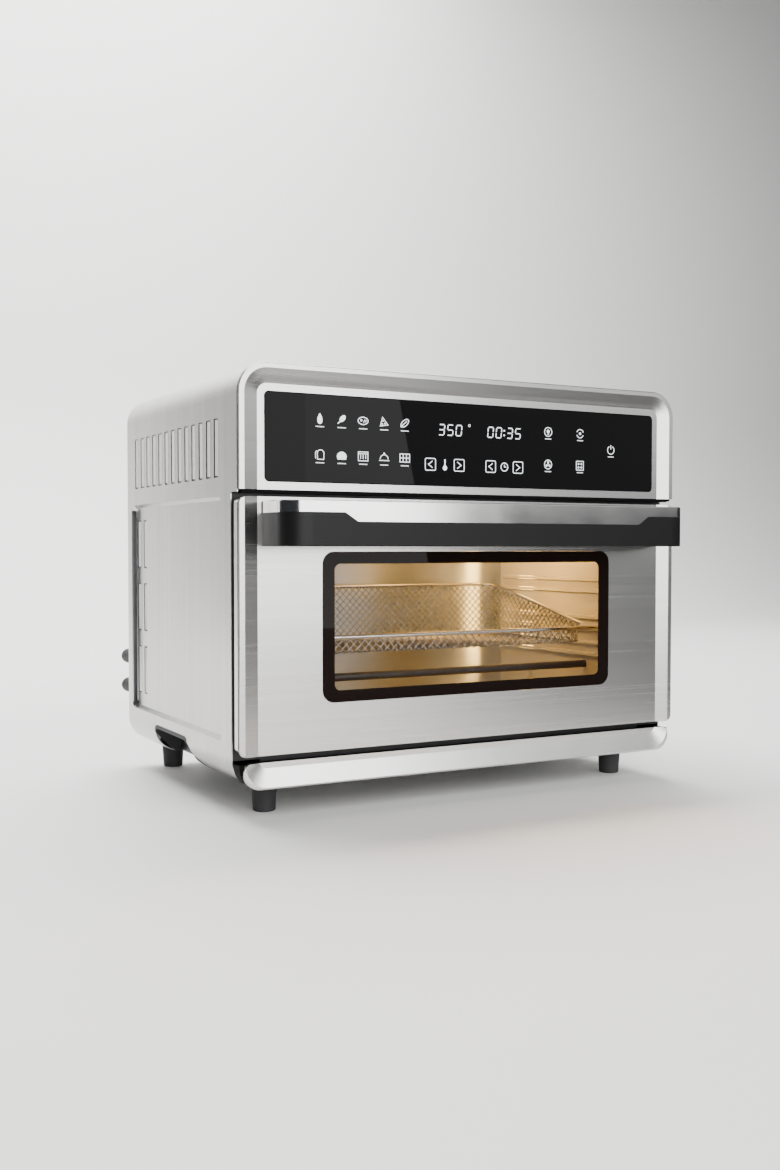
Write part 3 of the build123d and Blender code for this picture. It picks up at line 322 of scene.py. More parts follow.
def graduated_paper(name, studio):
    """Backdrop paper painted grey far to the left and in front on the right as shade for the steel to mirror,
    and plain round the oven.
    """
    material, tree, place = blank(name)
    across = add(tree, "ShaderNodeSeparateXYZ", {"Vector": place}).outputs["X"]
    ahead = add(tree, "ShaderNodeVectorMath", {0: place, 1: studio.ahead}, operation="DOT_PRODUCT").outputs[1]
    left, front = (
        add(tree, "ShaderNodeMapRange", {"Value": way, "From Min": grey, "From Max": plain},
            interpolation_type="SMOOTHSTEP").outputs[0]
        for way, (grey, plain) in ((across, studio.left_fade), (ahead, studio.ahead_fade)))
    both = add(tree, "ShaderNodeMath", {0: left, 1: front}, operation="MINIMUM").outputs[0]
    # Painted shade: the paper's grey ends are the dark that the steel mirrors
    ends = tones(studio.floor, studio.floor_shade)
    blend = add(tree, "ShaderNodeMix", {"Factor": both, **ends}, data_type="RGBA")
    return finished(material, {"Roughness": 0.6, "Base Color": blend.outputs[2]})


def lit_mark(name, colour, strength):
    """Ink, a display block or a lamp's capsule, lit from behind: a soft glow, a little uneven every 3 mm."""
    material, tree, place = blank(name)
    glow = add(tree, "ShaderNodeTexNoise", {"Vector": place, "Scale": 1 / (3 * MM)}).outputs[0]
    blend = add(tree, "ShaderNodeMix", {"Factor": glow, **tones(colour, 0.9)}, data_type="RGBA")
    return finished(material, {"Roughness": 0.5, "Base Color": blend.outputs[2],
                               "Emission Color": linear(colour), "Emission Strength": strength})


# Panel marks: flat strokes on the touch glass, drawn in millimetres across and up

def turned(points, angle):
    """Points turned about the origin by an angle in degrees."""
    a = math.radians(angle)
    return np.asarray(points, float) @ np.array([[math.cos(a), math.sin(a)], [-math.sin(a), math.cos(a)]])


def arc(radius, first, last, steps=16, centre=(0.0, 0.0)):
    """Points on a circle from one angle to another: centre + radius * (cos a, sin a)."""
    a = np.radians(np.linspace(first, last, steps))
    return np.stack([centre[0] + radius * np.cos(a), centre[1] + radius * np.sin(a)], axis=1)


def ring(radius, centre=(0.0, 0.0), steps=24):
    """A whole circle without its doubled last point."""
    return arc(radius, 0, 360 * (1 - 1 / steps), steps, centre)


def rounded(corners, radii, steps=10):
    """A path through corners, each replaced by an arc of its radius that touches both its sides."""
    corners = np.asarray(corners, float)
    path = [corners[:1]]
    for before, here, after, radius in zip(corners[:-2], corners[1:-1], corners[2:], radii[1:-1]):
        back = (before - here) / np.linalg.norm(before - here)
        on = (after - here) / np.linalg.norm(after - here)
        half = math.acos(np.clip(back @ on, -1, 1)) / 2
        middle = here + (back + on) / np.linalg.norm(back + on) * radius / math.sin(half)
        ends = np.stack([here + back * radius / math.tan(half), here + on * radius / math.tan(half)]) - middle
        share = np.linspace(0, 1, steps)[:, None]
        chord = ends[0] * (1 - share) + ends[1] * share
        path.append(middle + radius * chord / np.linalg.norm(chord, axis=1, keepdims=True))
    return np.concatenate(path + [corners[-1:]])


def stroke(path, width, closed, front, back):
    """A flat bar along a path: both edges are path plus and minus half the width along the mitred normal.

    The section is a rectangle from the front plane to the back plane, across glass that faces -Y.
    """
    path = np.asarray(path, float)
    before = np.roll(path, 1, axis=0)
    after = np.roll(path, -1, axis=0)
    into = path - before
    out = after - path
    if not closed:
        into[0] = out[0]
        out[-1] = into[-1]
    into /= np.linalg.norm(into, axis=1, keepdims=True)
    out /= np.linalg.norm(out, axis=1, keepdims=True)
    normal_in = np.stack([-into[:, 1], into[:, 0]], axis=1)
    normal_out = np.stack([-out[:, 1], out[:, 0]], axis=1)
    mitre = normal_in + normal_out
    mitre /= np.maximum(np.sum(mitre * normal_out, axis=1, keepdims=True), 0.5)
    left = path + mitre * width / 2
    right = path - mitre * width / 2
    corners = [(left, front), (right, front), (right, back), (left, back)]
    grid = np.stack([np.stack([edge[:, 0], np.full(len(path), y), edge[:, 1]], axis=1)
                     for edge, y in corners], axis=1)
    faces = grid_faces(len(path), 4, closed, True).tolist()
    if not closed:
        end = (len(path) - 1) * 4
        faces += [[3, 2, 1, 0], [end, end + 1, end + 2, end + 3]]
    return grid.reshape(-1, 3), faces


def solid_mark(outline, front, back):
    """A filled flat mark: a rim round the outline, with a face in front and one behind."""
    outline = np.asarray(outline, float)
    count = len(outline)
    levels = [np.stack([outline[:, 0], np.full(count, y), outline[:, 1]], axis=1) for y in (front, back)]
    faces = grid_faces(2, count, False, True)[:, ::-1].tolist()
    return np.concatenate(levels), faces + [list(range(count)), list(range(2 * count - 1, count - 1, -1))]


def at(marks, x, z):
    """Marks, drawn in millimetres, moved to a place on the panel in metres."""
    return [(np.asarray(path, float) + (x / MM, z / MM), width) for path, width in marks]


def bar(width, height):
    """A rectangle's corners."""
    return np.array([(-width, -height), (width, -height), (width, height), (-width, height)]) / 2


def oval(width, height, steps):
    """Points round an ellipse: (width / 2 * cos a, height / 2 * sin a)."""
    return ring(0.5, steps=steps) * (width, height)


SEGMENTS = {"0": "abcdef", "3": "abcdg", "5": "acdfg"}
FILL = None


def digit(character, panel):
    """Seven-segment digit as strokes, with gaps of 0.62 line widths between them and a lean of 6 degrees."""
    weight = panel.digit_line / MM
    gap = 0.62 * weight
    lean = math.tan(math.radians(6))
    x, z = ((size / MM - weight) / 2 for size in panel.digit)
    ends = {"a": ((-x + gap, z), (x - gap, z)), "g": ((-x + gap, 0), (x - gap, 0)),
            "d": ((-x + gap, -z), (x - gap, -z)), "f": ((-x, gap), (-x, z - gap)),
            "b": ((x, gap), (x, z - gap)), "e": ((-x, -z + gap), (-x, -gap)), "c": ((x, -z + gap), (x, -gap))}
    marks = []
    for segment in SEGMENTS[character]:
        path = np.array(ends[segment], float)
        path[:, 0] += path[:, 1] * lean
        marks.append((path, weight))
    return marks


def arrow_key(size, direction, weight):
    """A framed key with an angle pointing left (-1) or right (1)."""
    reach = 0.2 * size * direction
    rise = 0.28 * size
    corner = 0.12 * size
    angle = [(-reach, rise), (reach, 0), (-reach, -rise)]
    inner = size / 2 - corner
    frame_line = np.concatenate([arc(corner, start, start + 90, 4, (sx * inner, sz * inner))
                                 for start, sx, sz in ((0, 1, 1), (90, -1, 1), (180, -1, -1), (270, 1, -1))])
    return [(frame_line, -weight), (angle, weight)]


def thermometer(weight):
    """A stem over a filled bulb."""
    return [(arc(2.0, 0, 345, 20, (0, -2.6)), FILL), ([(0, -2.0), (0, 4.4)], 1.9 * weight)]


def clock(weight):
    """A ring with two hands."""
    return [(ring(3.4), -weight), ([(0, 2.0), (0, 0), (1.7, 0)], weight)]


def flame(_weight):
    """A filled drop with a waist."""
    a = np.linspace(0, 2 * math.pi, 28, endpoint=False)
    x = 2.7 * np.sin(a) * np.sin(a / 2) ** 0.8
    return [(np.stack([x, 4.2 * np.cos(a)], axis=1), FILL)]


def drumstick(weight):
    """A filled oval on a bone."""
    meat = turned(oval(6.4, 4.0, 20), 45) + (0.8, 0.9)
    return [(meat, FILL), ([(-0.6, -0.6), (-3.4, -3.2)], 1.3 * weight)]


def cutlet(weight):
    """An oval outline with a bone ring and two sear lines."""
    return [(oval(8.8, 5.8, 24), -weight), (ring(0.9, (-1.6, 0.4), 10), FILL),
            ([(0.4, -1.3), (1.6, 1.1)], weight), ([(2.0, -1.0), (2.9, 0.8)], weight)]


def wedge(weight):
    """A slice with a crust and three rounds."""
    crust = [(-3.4, -3.2), (3.4, -2.2), (-1.4, 3.8)]
    rounds = [(ring(0.7, place, 8), FILL) for place in ((-1.6, -1.6), (0.7, -1.2), (-0.9, 0.8))]
    return [(crust, -weight)] + rounds


def leaf(weight):
    """A pointed leaf with its vein."""
    t = np.linspace(0, math.pi, 12)
    half = np.stack([4.2 * np.cos(t), 2.2 * np.sin(t)], axis=1)
    outline = np.concatenate([half, -half[1:-1]])
    return [(turned(outline, 40), -weight), (turned([(-5.0, 0), (2.4, 0)], 40), weight)]


def toast(weight):
    """Two slices, one behind the other."""
    top = arc(2.9, 10, 170, 10, (0.6, 0.9))
    slice_line = np.concatenate([top, [(-2.0, -3.6), (3.2, -3.6)]])
    return [(slice_line, -weight), ([(-2.6, 3.2), (-3.8, 1.6), (-3.6, -3.0)], weight)]


def loaf(_weight):
    """A filled loaf with a flat base."""
    crown = arc(4.2, 0, 180, 14, (0, -0.9)) * (1, 0.9)
    return [(np.concatenate([crown, [(-3.6, -3.2), (3.6, -3.2)]]), FILL)]


def oven_rack(weight):
    """A framed rack over three heat lines."""
    marks = [(bar(8.4, 7.0), -weight)]
    marks += [([(x, -2.0), (x, 1.2)], weight) for x in (-2.2, 0, 2.2)]
    return marks + [([(-4.0, 2.0), (4.0, 2.0)], weight)]


def dish(weight):
    """A dome with a knob on a plate."""
    return [(arc(3.6, 0, 180, 14, (0, -1.6)), weight), ([(-4.6, -2.6), (4.6, -2.6)], weight),
            (ring(0.8, (0, 2.9), 10), FILL)]


def rack_grid(weight):
    """A drying grid of three by two."""
    lines = [([(x, -3.2), (x, 3.2)], weight) for x in (-1.5, 1.5)]
    return [(bar(8.8, 6.4), -weight), ([(-4.4, 0), (4.4, 0)], weight)] + lines


def lamp_sign(weight):
    """A ring round a bulb."""
    return [(ring(3.8), -weight), (ring(1.5, (0, 0.4), 14), FILL),
            ([(-0.9, -1.9), (0.9, -1.9)], weight)]


def fan_sign(weight):
    """A ring round three blades."""
    blade = arc(1.3, 0, 342, 14, (0, 1.7)) * (0.7, 1.0)
    return [(ring(3.8), -weight)] + [(turned(blade, turn), FILL) for turn in (0, 120, 240)]


def swirl_sign(weight):
    """Two arcs that chase each other."""
    return [(arc(3.6, 20, 160, 14), weight), (arc(3.6, 200, 340, 14), weight), (ring(1.2, steps=12), FILL)]


def pan_sign(weight):
    """A frame round four rounds."""
    dots = [(ring(0.9, (x, z), 10), FILL) for x in (-1.5, 1.5) for z in (-1.5, 1.5)]
    return [(bar(7.6, 7.6), -weight)] + dots


def power_sign(weight):
    """The usual broken ring with a bar."""
    return [(arc(3.6, 120, 420, 24), weight), ([(0, 0.6), (0, 4.4)], weight)]


UPPER_SIGNS = (flame, drumstick, cutlet, wedge, leaf)
LOWER_SIGNS = (toast, loaf, oven_rack, dish, rack_grid)
ROUND_SIGNS = (lamp_sign, fan_sign, swirl_sign, pan_sign, power_sign)


def drawn(marks, raised):
    """Marks as one shape that stands out of the touch glass by a little, and as far into it.

    A width of None is a filled mark, and a negative one a closed line.
    """
    front = GLASS_FRONT - raised
    back = GLASS_FRONT + raised
    parts = []
    for path, width in marks:
        path = np.asarray(path, float) * MM
        if width is FILL:
            parts.append(solid_mark(path, front, back))
        else:
            parts.append(stroke(path, abs(width) * MM, width < 0, front, back))
    return joined(parts)


# Settings

def size_mm(name, description, millimetres):
    """A length property, its default given in millimetres."""
    return FloatProperty(name=name, description=description, default=millimetres * MM, unit="LENGTH")


def sizes_mm(name, description, *millimetres):
    """Several lengths or a place as one property, the defaults given in millimetres."""
    default = tuple(value * MM for value in millimetres)
    return FloatVectorProperty(
        name=name, description=description, default=default, size=len(default), unit="LENGTH")


def hex_colour(name, description, code):
    """A colour property, as sRGB hex."""
    return StringProperty(name=name, description=description, default=code)


def ratio(name, description, default):
    """A property between 0 and 1."""
    return FloatProperty(name=name, description=description, default=default, subtype="FACTOR")


def watts(name, description, default):
    """A light's power property."""
    return FloatProperty(name=name, description=description, default=default, unit="POWER")


def degrees(name, description, default):
    """An angle property, its default given in degrees."""
    return FloatProperty(name=name, description=description, default=math.radians(default), unit="ROTATION")


class OvenFinish(bpy.types.PropertyGroup):
    """Colours of the oven's finishes."""
    steel: hex_colour("Brushed steel", "Casing, fascia and door", "#c9c8c6")
    bright: hex_colour("Bright steel", "Sill, handle strip and door pan", "#d6d5d3")
    cavity: hex_colour("Cavity", "Aluminised walls of the cavity", "#cdc6b6")
    # Grey steel tinted blue: painted light for the cool light the back mirrors through the window, against
    # the warm lamp
    back: hex_colour("Cavity back", "Brushed back wall of the cavity", "#c2c9d0")
    sheath: hex_colour("Heater sheath", "Oxidised heater rods", "#4b4643")
    wire: hex_colour("Basket rim", "Plated rim wire", "#e4e2dd")
    # The mesh is the rim's plated wire, drawn darker than the rim
    mesh: hex_colour("Basket mesh", "Plated mesh, dulled by heat", "#a9a6a1")
    plastic: hex_colour("Plastic", "Handle, gland and door switch", "#0b0b0c")
    seam: hex_colour("Seams", "Matt black seals and mouldings in the gaps", "#060606")
    grip: hex_colour("Grips", "Dark grey linings of the grips", "#303032")
    rubber: hex_colour("Rubber", "Feet and rear spacers", "#303031")
    panel: hex_colour("Panel glass", "Black touch glass", "#0b0b0c")
    border: hex_colour("Window border", "Black brown print round the window", "#140e0c")
    glass: hex_colour("Clear glass", "Panes and lamp cover", "#1c1a17")
    marks: hex_colour("Panel marks", "Lit marks on the glass", "#eef2f6")
    zinc: hex_colour("Zinc", "Plated sheet of the back and the works", "#a9abae")
    # Black of the base pan, and partly painted shade on the face plate for the shadow in the gap under the
    # fascia
    enamel: hex_colour("Enamel", "Base pan and face plate", "#0c0c0d")
    aluminium: hex_colour("Aluminium", "Fan wheels", "#c6c7c8")
    laminate: hex_colour("Laminate", "Circuit boards", "#1e5a34")
    relay: hex_colour("Relays", "Component mouldings", "#1a1a1c")
    steatite: hex_colour("Steatite", "Heater bushes", "#e6e0d2")
    screw: hex_colour("Screws", "Plated screw heads", "#c2c4c6")


class OvenPanel(bpy.types.PropertyGroup):
    """Places and sizes of the lit marks, across from the touch glass's middle and up from the floor."""
    left_column: size_mm("First sign", "Across to the first cooking sign", -142)
    column_step: size_mm("Sign step", "Across from sign to sign", 18.75)
    upper_row: size_mm("Upper row", "Height of the upper signs", 307.4)
    lower_row: size_mm("Lower row", "Height of the lower signs", 279.6)
    sign_lift: size_mm("Sign lift", "How far a cooking sign stands over its row", 0.6)
    round_columns: sizes_mm("Round signs", "Across to the two columns of round signs", 73.5, 107.4)
    power: sizes_mm("Power sign", "Across and up to the power sign", 141.2, 294.4)
    dash: sizes_mm("Dash", "Width and height of a cooking sign's dash", 7.2, 0.7)
    dash_drop: size_mm("Dash drop", "From a cooking sign's row down to its dash", 5.6)
    round_dash: sizes_mm("Round dash", "Width and height of a round sign's dash", 6.4, 0.7)
    round_drop: size_mm("Round dash drop", "From a round sign down to its dash", 6.0)
    display_row: size_mm("Digit row", "Height of the digits' middle", 304.4)
    digit: sizes_mm("Digit", "Width and height of a digit", 5.9, 9.2)
    digit_line: size_mm("Digit line", "Width of a digit's strokes", 0.775)
    digit_step: size_mm("Digit step", "Across from digit to digit", 8.2)
    digit_columns: sizes_mm("Digit groups", "Across to heat, hours and minutes", -32.6, 14.8, 34.0)
    colon: sizes_mm("Colon", "Across to it, and from the digits' middle up to a dot", 28.4, 1.9)
    colon_radius: size_mm("Colon dots", "Radius of a dot", 0.75)
    degree: sizes_mm("Degree", "Across to the degree ring, and up to it from the digits' middle", -6.0, 4.6)
    degree_radius: size_mm("Degree radius", "Radius of that ring", 0.95)
    degree_line: size_mm("Degree line", "Width of that ring's line", 0.372)
    key_row: size_mm("Key row", "Height of the arrow keys", 276)
    key_columns: sizes_mm("Key pairs", "Across to the middle of the heat's and the time's keys", -29.5, 28.7)
    key_reach: size_mm("Key reach", "From that middle to a key", 13.7)
    key_size: size_mm("Key", "Side of a key's frame", 9.6)
    line: size_mm("Line", "Width of a drawn line", 0.62)
    raised: size_mm("Raised", "How far the ink stands on the glass", 0.06)


class OvenBasket(bpy.types.PropertyGroup):
    """Sizes of the woven basket."""
    cell: size_mm("Cell", "Across one diamond of the weave", 7.0)
    wire: size_mm("Wire", "Radius of a wire", 0.45)
    rim_wire: size_mm("Rim wire", "Radius of the rim's wire", 1.8)
    corner: size_mm("Corner", "Radius of the floor's corners", 12)
    inset: size_mm("Inset", "From the bowl's edge in to the floor's edge", 6)
    slope: size_mm("Slope", "How far the highest wall leans out", 1.6)
    lap: size_mm("Lap", "How far the wires lean over to the rim", 1.6)
    lap_share: ratio("Lap share", "Last share of a wire, which leans over", 0.125)


class OvenGrip(bpy.types.PropertyGroup):
    """Sizes of the linings in the grip cut-outs, along Y from the oven's middle and up from the floor."""
    rear: size_mm("Rear", "Rear side of the cut-out", 71.5)
    front: size_mm("Front", "Front end of the cut-out's top", -10.5)
    heel_y: size_mm("Heel", "Where the cut-out's slope turns level", -31.5)
    heel_z: size_mm("Heel height", "Height of that turn", 28.5)
    toe: size_mm("Toe", "Front end of the lining", -52.0)
    top: size_mm("Top", "Top of the cut-out", 50.5)
    low: size_mm("Low", "Height of the lining's ends", 25.4)
    top_radius: size_mm("Top corners", "Radius of the top corners", 7.0)
    toe_radius: size_mm("Toe bend", "Radius of the bend into the toe", 22.0)
    thick: size_mm("Thick", "Thickness of the lining", 3.0)
    play: size_mm("Play", "Gap to the sheet and to the base pan", 0.2)
    corner: size_mm("Casing corner", "Radius of the casing's lower corner", 23.0)
    sunk: size_mm("Sunk", "How far the lining stays under the surface", 0.3)


class OvenScrew(bpy.types.PropertyGroup):
    """Sizes of a rear screw's pan head."""
    radius: size_mm("Radius", "Radius of the head", 4.0)
    cross_half: size_mm("Cross width", "Half the width of the cross's arms", 0.52)
    cross_reach: size_mm("Cross reach", "From the middle to the end of an arm", 2.24)
    cross_depth: ratio("Cross depth", "Depth of the cross, in head heights", 0.5)
    crown: ratio("Crown", "Fall from the middle to the rim, in head heights", 0.45)
    twist: degrees("Twist", "Turn from one screw's cross to the next", 17.0)


class OvenStudio(bpy.types.PropertyGroup):
    """Camera, sweep and lights."""
    eye: sizes_mm("Eye", "Camera's place", -543.41, -982.42, 208.96)
    yaw: degrees("Yaw", "Camera's turn to the right", 28.551)
    pitch: degrees("Pitch", "Camera's tilt up", -1.787)
    lens: FloatProperty(name="Lens", description="Focal length", default=37.375, unit="CAMERA")
    sensor: FloatProperty(name="Sensor", description="Width of the sensor", default=36.0, unit="CAMERA")
    floor: hex_colour("Floor", "Colour of the floor and backdrop", "#eeedeb")
    floor_shade: ratio("Floor shade", "How much of that colour the grey ends keep", 0.1)
    room: hex_colour("Room", "Colour of the unlit room", "#34363a")
    sweep: sizes_mm("Sweep", "Half width, front edge and top of the paper", 4500, -4000, 3200)
    bend: sizes_mm("Bend", "Start and radius of the paper's bend", 1600, 700)
    # The paper's grey ends set below are painted shade for the steel to mirror
    left_fade: sizes_mm("Left fade", "Across to where the paper is grey, then plain", -1120, -940)
    ahead: FloatVectorProperty(
        name="Ahead", description="Level way out past the right front corner", default=(0.69, -0.72, 0.0),
        subtype="XYZ")
    ahead_fade: sizes_mm("Front fade", "Along that way to where it is grey, then plain", 580, 370)
    lamp: hex_colour("Oven lamp", "Colour of the oven's lamp", "#ffc66c")
    streak_place: sizes_mm("Streak", "From the lamp cover to the strip that the back mirrors", -1, 34, -58)
    streak_size: sizes_mm("Streak size", "Height and width of that strip", 150, 25)
    streak_power: watts("Streak power", "Power of that strip", 0.2)
    glow_place: sizes_mm("Glow", "From the lamp cover to the cavity's glow", -105, 0, -8)
    glow_radius: size_mm("Glow radius", "Radius of the glow", 14)
    glow_power: watts("Glow power", "Power of the glow", 5.0)
    wash_place: sizes_mm("Wash", "From the lamp cover to the wash down its wall", -34, -25, 10)
    wash_radius: size_mm("Wash radius", "Radius of the wash", 4)
    wash_power: watts("Wash power", "Power of the wash", 0.7)


# Operators

class OVEN_OT_dress_steel(bpy.types.Operator):
    """Brush the casing, the fascia and the door skin"""
    bl_idname = "oven.dress_steel"
    bl_label = "Brushed steel"

    def execute(self, context):
        colour = context.scene.oven_finish.steel
        coat(("fascia", "door_skin"), brushed_steel("brushed_stainless_level", colour))
        coat(("outer_wrap",), brushed_steel("brushed_stainless_wrapped", colour))
        return {"FINISHED"}


class OVEN_OT_dress_bright(bpy.types.Operator):
    """Buff the sill, the handle's strip and the door pan"""
    bl_idname = "oven.dress_bright"
    bl_label = "Bright steel"

    def execute(self, context):
        colour = context.scene.oven_finish.bright
        coat(("handle_trim",), bright_steel("buffed_stainless_strip", colour, roughness=0.14))
        coat(("sill", "door_pan"), bright_steel("buffed_stainless_sheet", colour, roughness=0.24))
        return {"FINISHED"}


class OVEN_OT_dress_cavity(bpy.types.Operator):
    """Finish the cavity's walls, tray, guard, heaters and basket rim"""
    bl_idname = "oven.dress_cavity"
    bl_label = "Cavity"

    def execute(self, context):
        finish = context.scene.oven_finish
        coat(("cavity_left", "cavity_right", "cavity_top", "cavity_floor", "fan_guard", "crumb_tray"),
             aluminised_steel("aluminised_sheet", finish.cavity))
        # The back's blue tint is painted light: the cool light it mirrors through the window
        coat(("cavity_back",), brushed_steel("brushed_cavity_back", finish.back))
        coat(("lower_heater_front", "lower_heater_rear", "upper_heater_front", "upper_heater_rear",
              "temperature_probe"), plain_finish("oxidised_heater_sheath", finish.sheath))
        coat(("basket_rim",), bright_steel("plated_rim_wire", finish.wire, roughness=0.14))
        return {"FINISHED"}


class OVEN_OT_dress_dark(bpy.types.Operator):
    """Finish the mouldings, the rubber and the glass"""
    bl_idname = "oven.dress_dark"
    bl_label = "Plastic, rubber and glass"

    def execute(self, context):
        finish = context.scene.oven_finish
        coat(("handle_bar", "cord_gland", "door_switch", "switch_plunger"),
             moulded_plastic("moulded_black_plastic", finish.plastic, roughness=0.42))
        coat(("base_frame", "fascia_carrier"),
             moulded_plastic("moulded_matt_plastic", finish.seam, roughness=0.6, gloss=0.06))
        coat(("door_seal", "door_spacer"),
             moulded_plastic("moulded_matt_rubber", finish.seam, roughness=0.7, gloss=0.06))
        coat(("feet", "rear_spacers"), moulded_plastic("moulded_grey_rubber", finish.rubber, roughness=0.62))
        coat(("control_glass",), printed_glass("back_printed_panel_glass", finish.panel))
        coat(("window_border",), printed_glass("back_printed_window_border", finish.border))
        coat(("door_glass", "inner_glass", "lamp_cover"),
             clear_glass("tempered_clear_glass", finish.glass, alpha=0.05))
        return {"FINISHED"}


class OVEN_OT_dress_works(bpy.types.Operator):
    """Finish the back, the face plate, the hinges, the fans, the boards and the other works"""
    bl_idname = "oven.dress_works"
    bl_label = "Works"

    def execute(self, context):
        finish = context.scene.oven_finish
        coat(("rear_cover", "fan_shroud", "fan_motor", "motor_bracket", "motor_shaft", "hinge_bracket_left",
              "hinge_bracket_right", "hinge_arm_left", "hinge_arm_right", "hinge_pins", "door_springs",
              "handle_screws", "lamp_housing", "thermal_cutout"),
             plain_finish("zinc_plated_sheet", finish.zinc))
        # The face plate's black is partly painted shade, for the shadow in the gap under the fascia
        coat(("base_pan", "front_frame"), plain_finish("black_enamel_and_gap_shade", finish.enamel))
        coat(("convection_fan", "cooling_fan"), plain_finish("pressed_aluminium", finish.aluminium))
        coat(("display_board", "power_board"), plain_finish("green_laminate", finish.laminate))
        coat(("heater_bushes",), plain_finish("glazed_steatite", finish.steatite))
        coat(("relays",), moulded_plastic("moulded_component_black", finish.relay, roughness=0.4))
        coat(("led_display",), lit_mark("lit_display_block", finish.marks, strength=0.3))
        coat(("lamp_bulb",), lit_mark("glowing_capsule_lamp", context.scene.oven_studio.lamp, strength=6.0))
        return {"FINISHED"}


class OVEN_OT_weave_basket(bpy.types.Operator):
    """Weave the wire basket over its bowl"""
    bl_idname = "oven.weave_basket"
    bl_label = "Basket"

    def execute(self, context):
        sizes = context.scene.oven_basket
        half_x = BOWL_HIGH.x - sizes.inset
        half_y = (BOWL_HIGH.y - BOWL_LOW.y) / 2 - sizes.inset
        middle_y = (BOWL_HIGH.y + BOWL_LOW.y) / 2
        outline = (half_x, half_y, middle_y)
        shape = joined([self.floor(sizes, *outline), self.walls(sizes, *outline)])
        wire = bright_steel("plated_woven_wire", context.scene.oven_finish.mesh, roughness=0.2)
        piece("woven_basket", shape, "basket", wire, ("basket_bowl",))
        return {"FINISHED"}

    def floor(self, sizes, half_x, half_y, middle_y):
        """Straight wires x + y = c and x - y = c, cut to the rounded floor, one family over the other."""
        reach = half_x + half_y
        start = np.arange(-reach, reach, sizes.cell)
        along = np.linspace(-reach, reach, FLOOR_SAMPLES)
        families = []
        for side in (1, -1):
            x = (start[:, None] + along) / 2
            y = side * (start[:, None] - along) / 2
            inset_x = np.maximum(np.abs(x) - (half_x - sizes.corner), 0)
            inset_y = np.maximum(np.abs(y) - (half_y - sizes.corner), 0)
            inside = np.hypot(inset_x, inset_y) <= sizes.corner
            kept = inside.sum(axis=1) > SHORTEST_WIRE
            first = inside.argmax(axis=1)[kept]
            last = (inside.shape[1] - 1 - inside[:, ::-1].argmax(axis=1))[kept]
            row = np.arange(len(first))[:, None]
            ends = np.stack([first, (first + last) // 2, last], axis=1)
            z = BOWL_LOW.z + (2 + side) * sizes.wire
            level = np.full(ends.shape, z)
            paths = np.stack([x[kept][row, ends], y[kept][row, ends] + middle_y, level], axis=2)
            families.append(swept(paths, sizes.wire, WIRE_SIDES))
        return joined(families)

    def walls(self, sizes, half_x, half_y, middle_y):
        """Diagonal wires up the wall: outline point + lean * outward normal, from the floor to the rim.

        The rim is a line in Y and Z through the middles of its front and back wires. Each wire ends where it
        meets that line, and leans over to the rim in its last stretch. The two families stand apart so that
        they don't cut through each other.
        """
        corner = sizes.corner
        quarters = ((1, 1, 0), (-1, 1, 90), (-1, -1, 180), (1, -1, 270))
        bends = [arc(corner, turn, turn + 90, BEND_STEPS, (sx * (half_x - corner), sy * (half_y - corner)))
                 for sx, sy, turn in quarters]
        normals = [arc(1.0, turn, turn + 90, BEND_STEPS) for _, _, turn in quarters]
        outline = np.concatenate(bends + [bends[0][:1]])
        normal = np.concatenate(normals + [normals[0][:1]])
        passed = np.concatenate([[0], np.cumsum(np.linalg.norm(np.diff(outline, axis=0), axis=1))])
        around = passed[-1]
        low = BOWL_LOW.z + 2 * sizes.wire
        tall = RIM_HIGH.z - low
        rim_y = np.array([RIM_LOW.y, RIM_HIGH.y]) - middle_y
        rim_z = np.array([RIM_LOW.z + sizes.rim_wire, RIM_HIGH.z - sizes.rim_wire]) - low
        count = int(around / sizes.cell)
        start = np.arange(count)[:, None] * around / count
        climb = np.linspace(0, tall, CLIMB_SAMPLES)
        step = np.linspace(0, 1, WALL_STEPS)
        lean = sizes.lap * np.clip((step - 1) / sizes.lap_share + 1, 0, 1)
        families = []
        for side in (1, -1):
            y = np.interp((start + side * climb) % around, passed, outline[:, 1])
            top = climb[(climb >= np.interp(y, rim_y, rim_z)).argmax(axis=1)]
            up = top[:, None] * step
            run = (start + side * up) % around
            out = sizes.slope * up / tall + lean + side * WALL_GAP * sizes.wire
            x = np.interp(run, passed, outline[:, 0]) + out * np.interp(run, passed, normal[:, 0])
            y = np.interp(run, passed, outline[:, 1]) + out * np.interp(run, passed, normal[:, 1])
            families.append(swept(np.stack([x, y + middle_y, low + up], axis=2), sizes.wire, WIRE_SIDES))
        return joined(families)


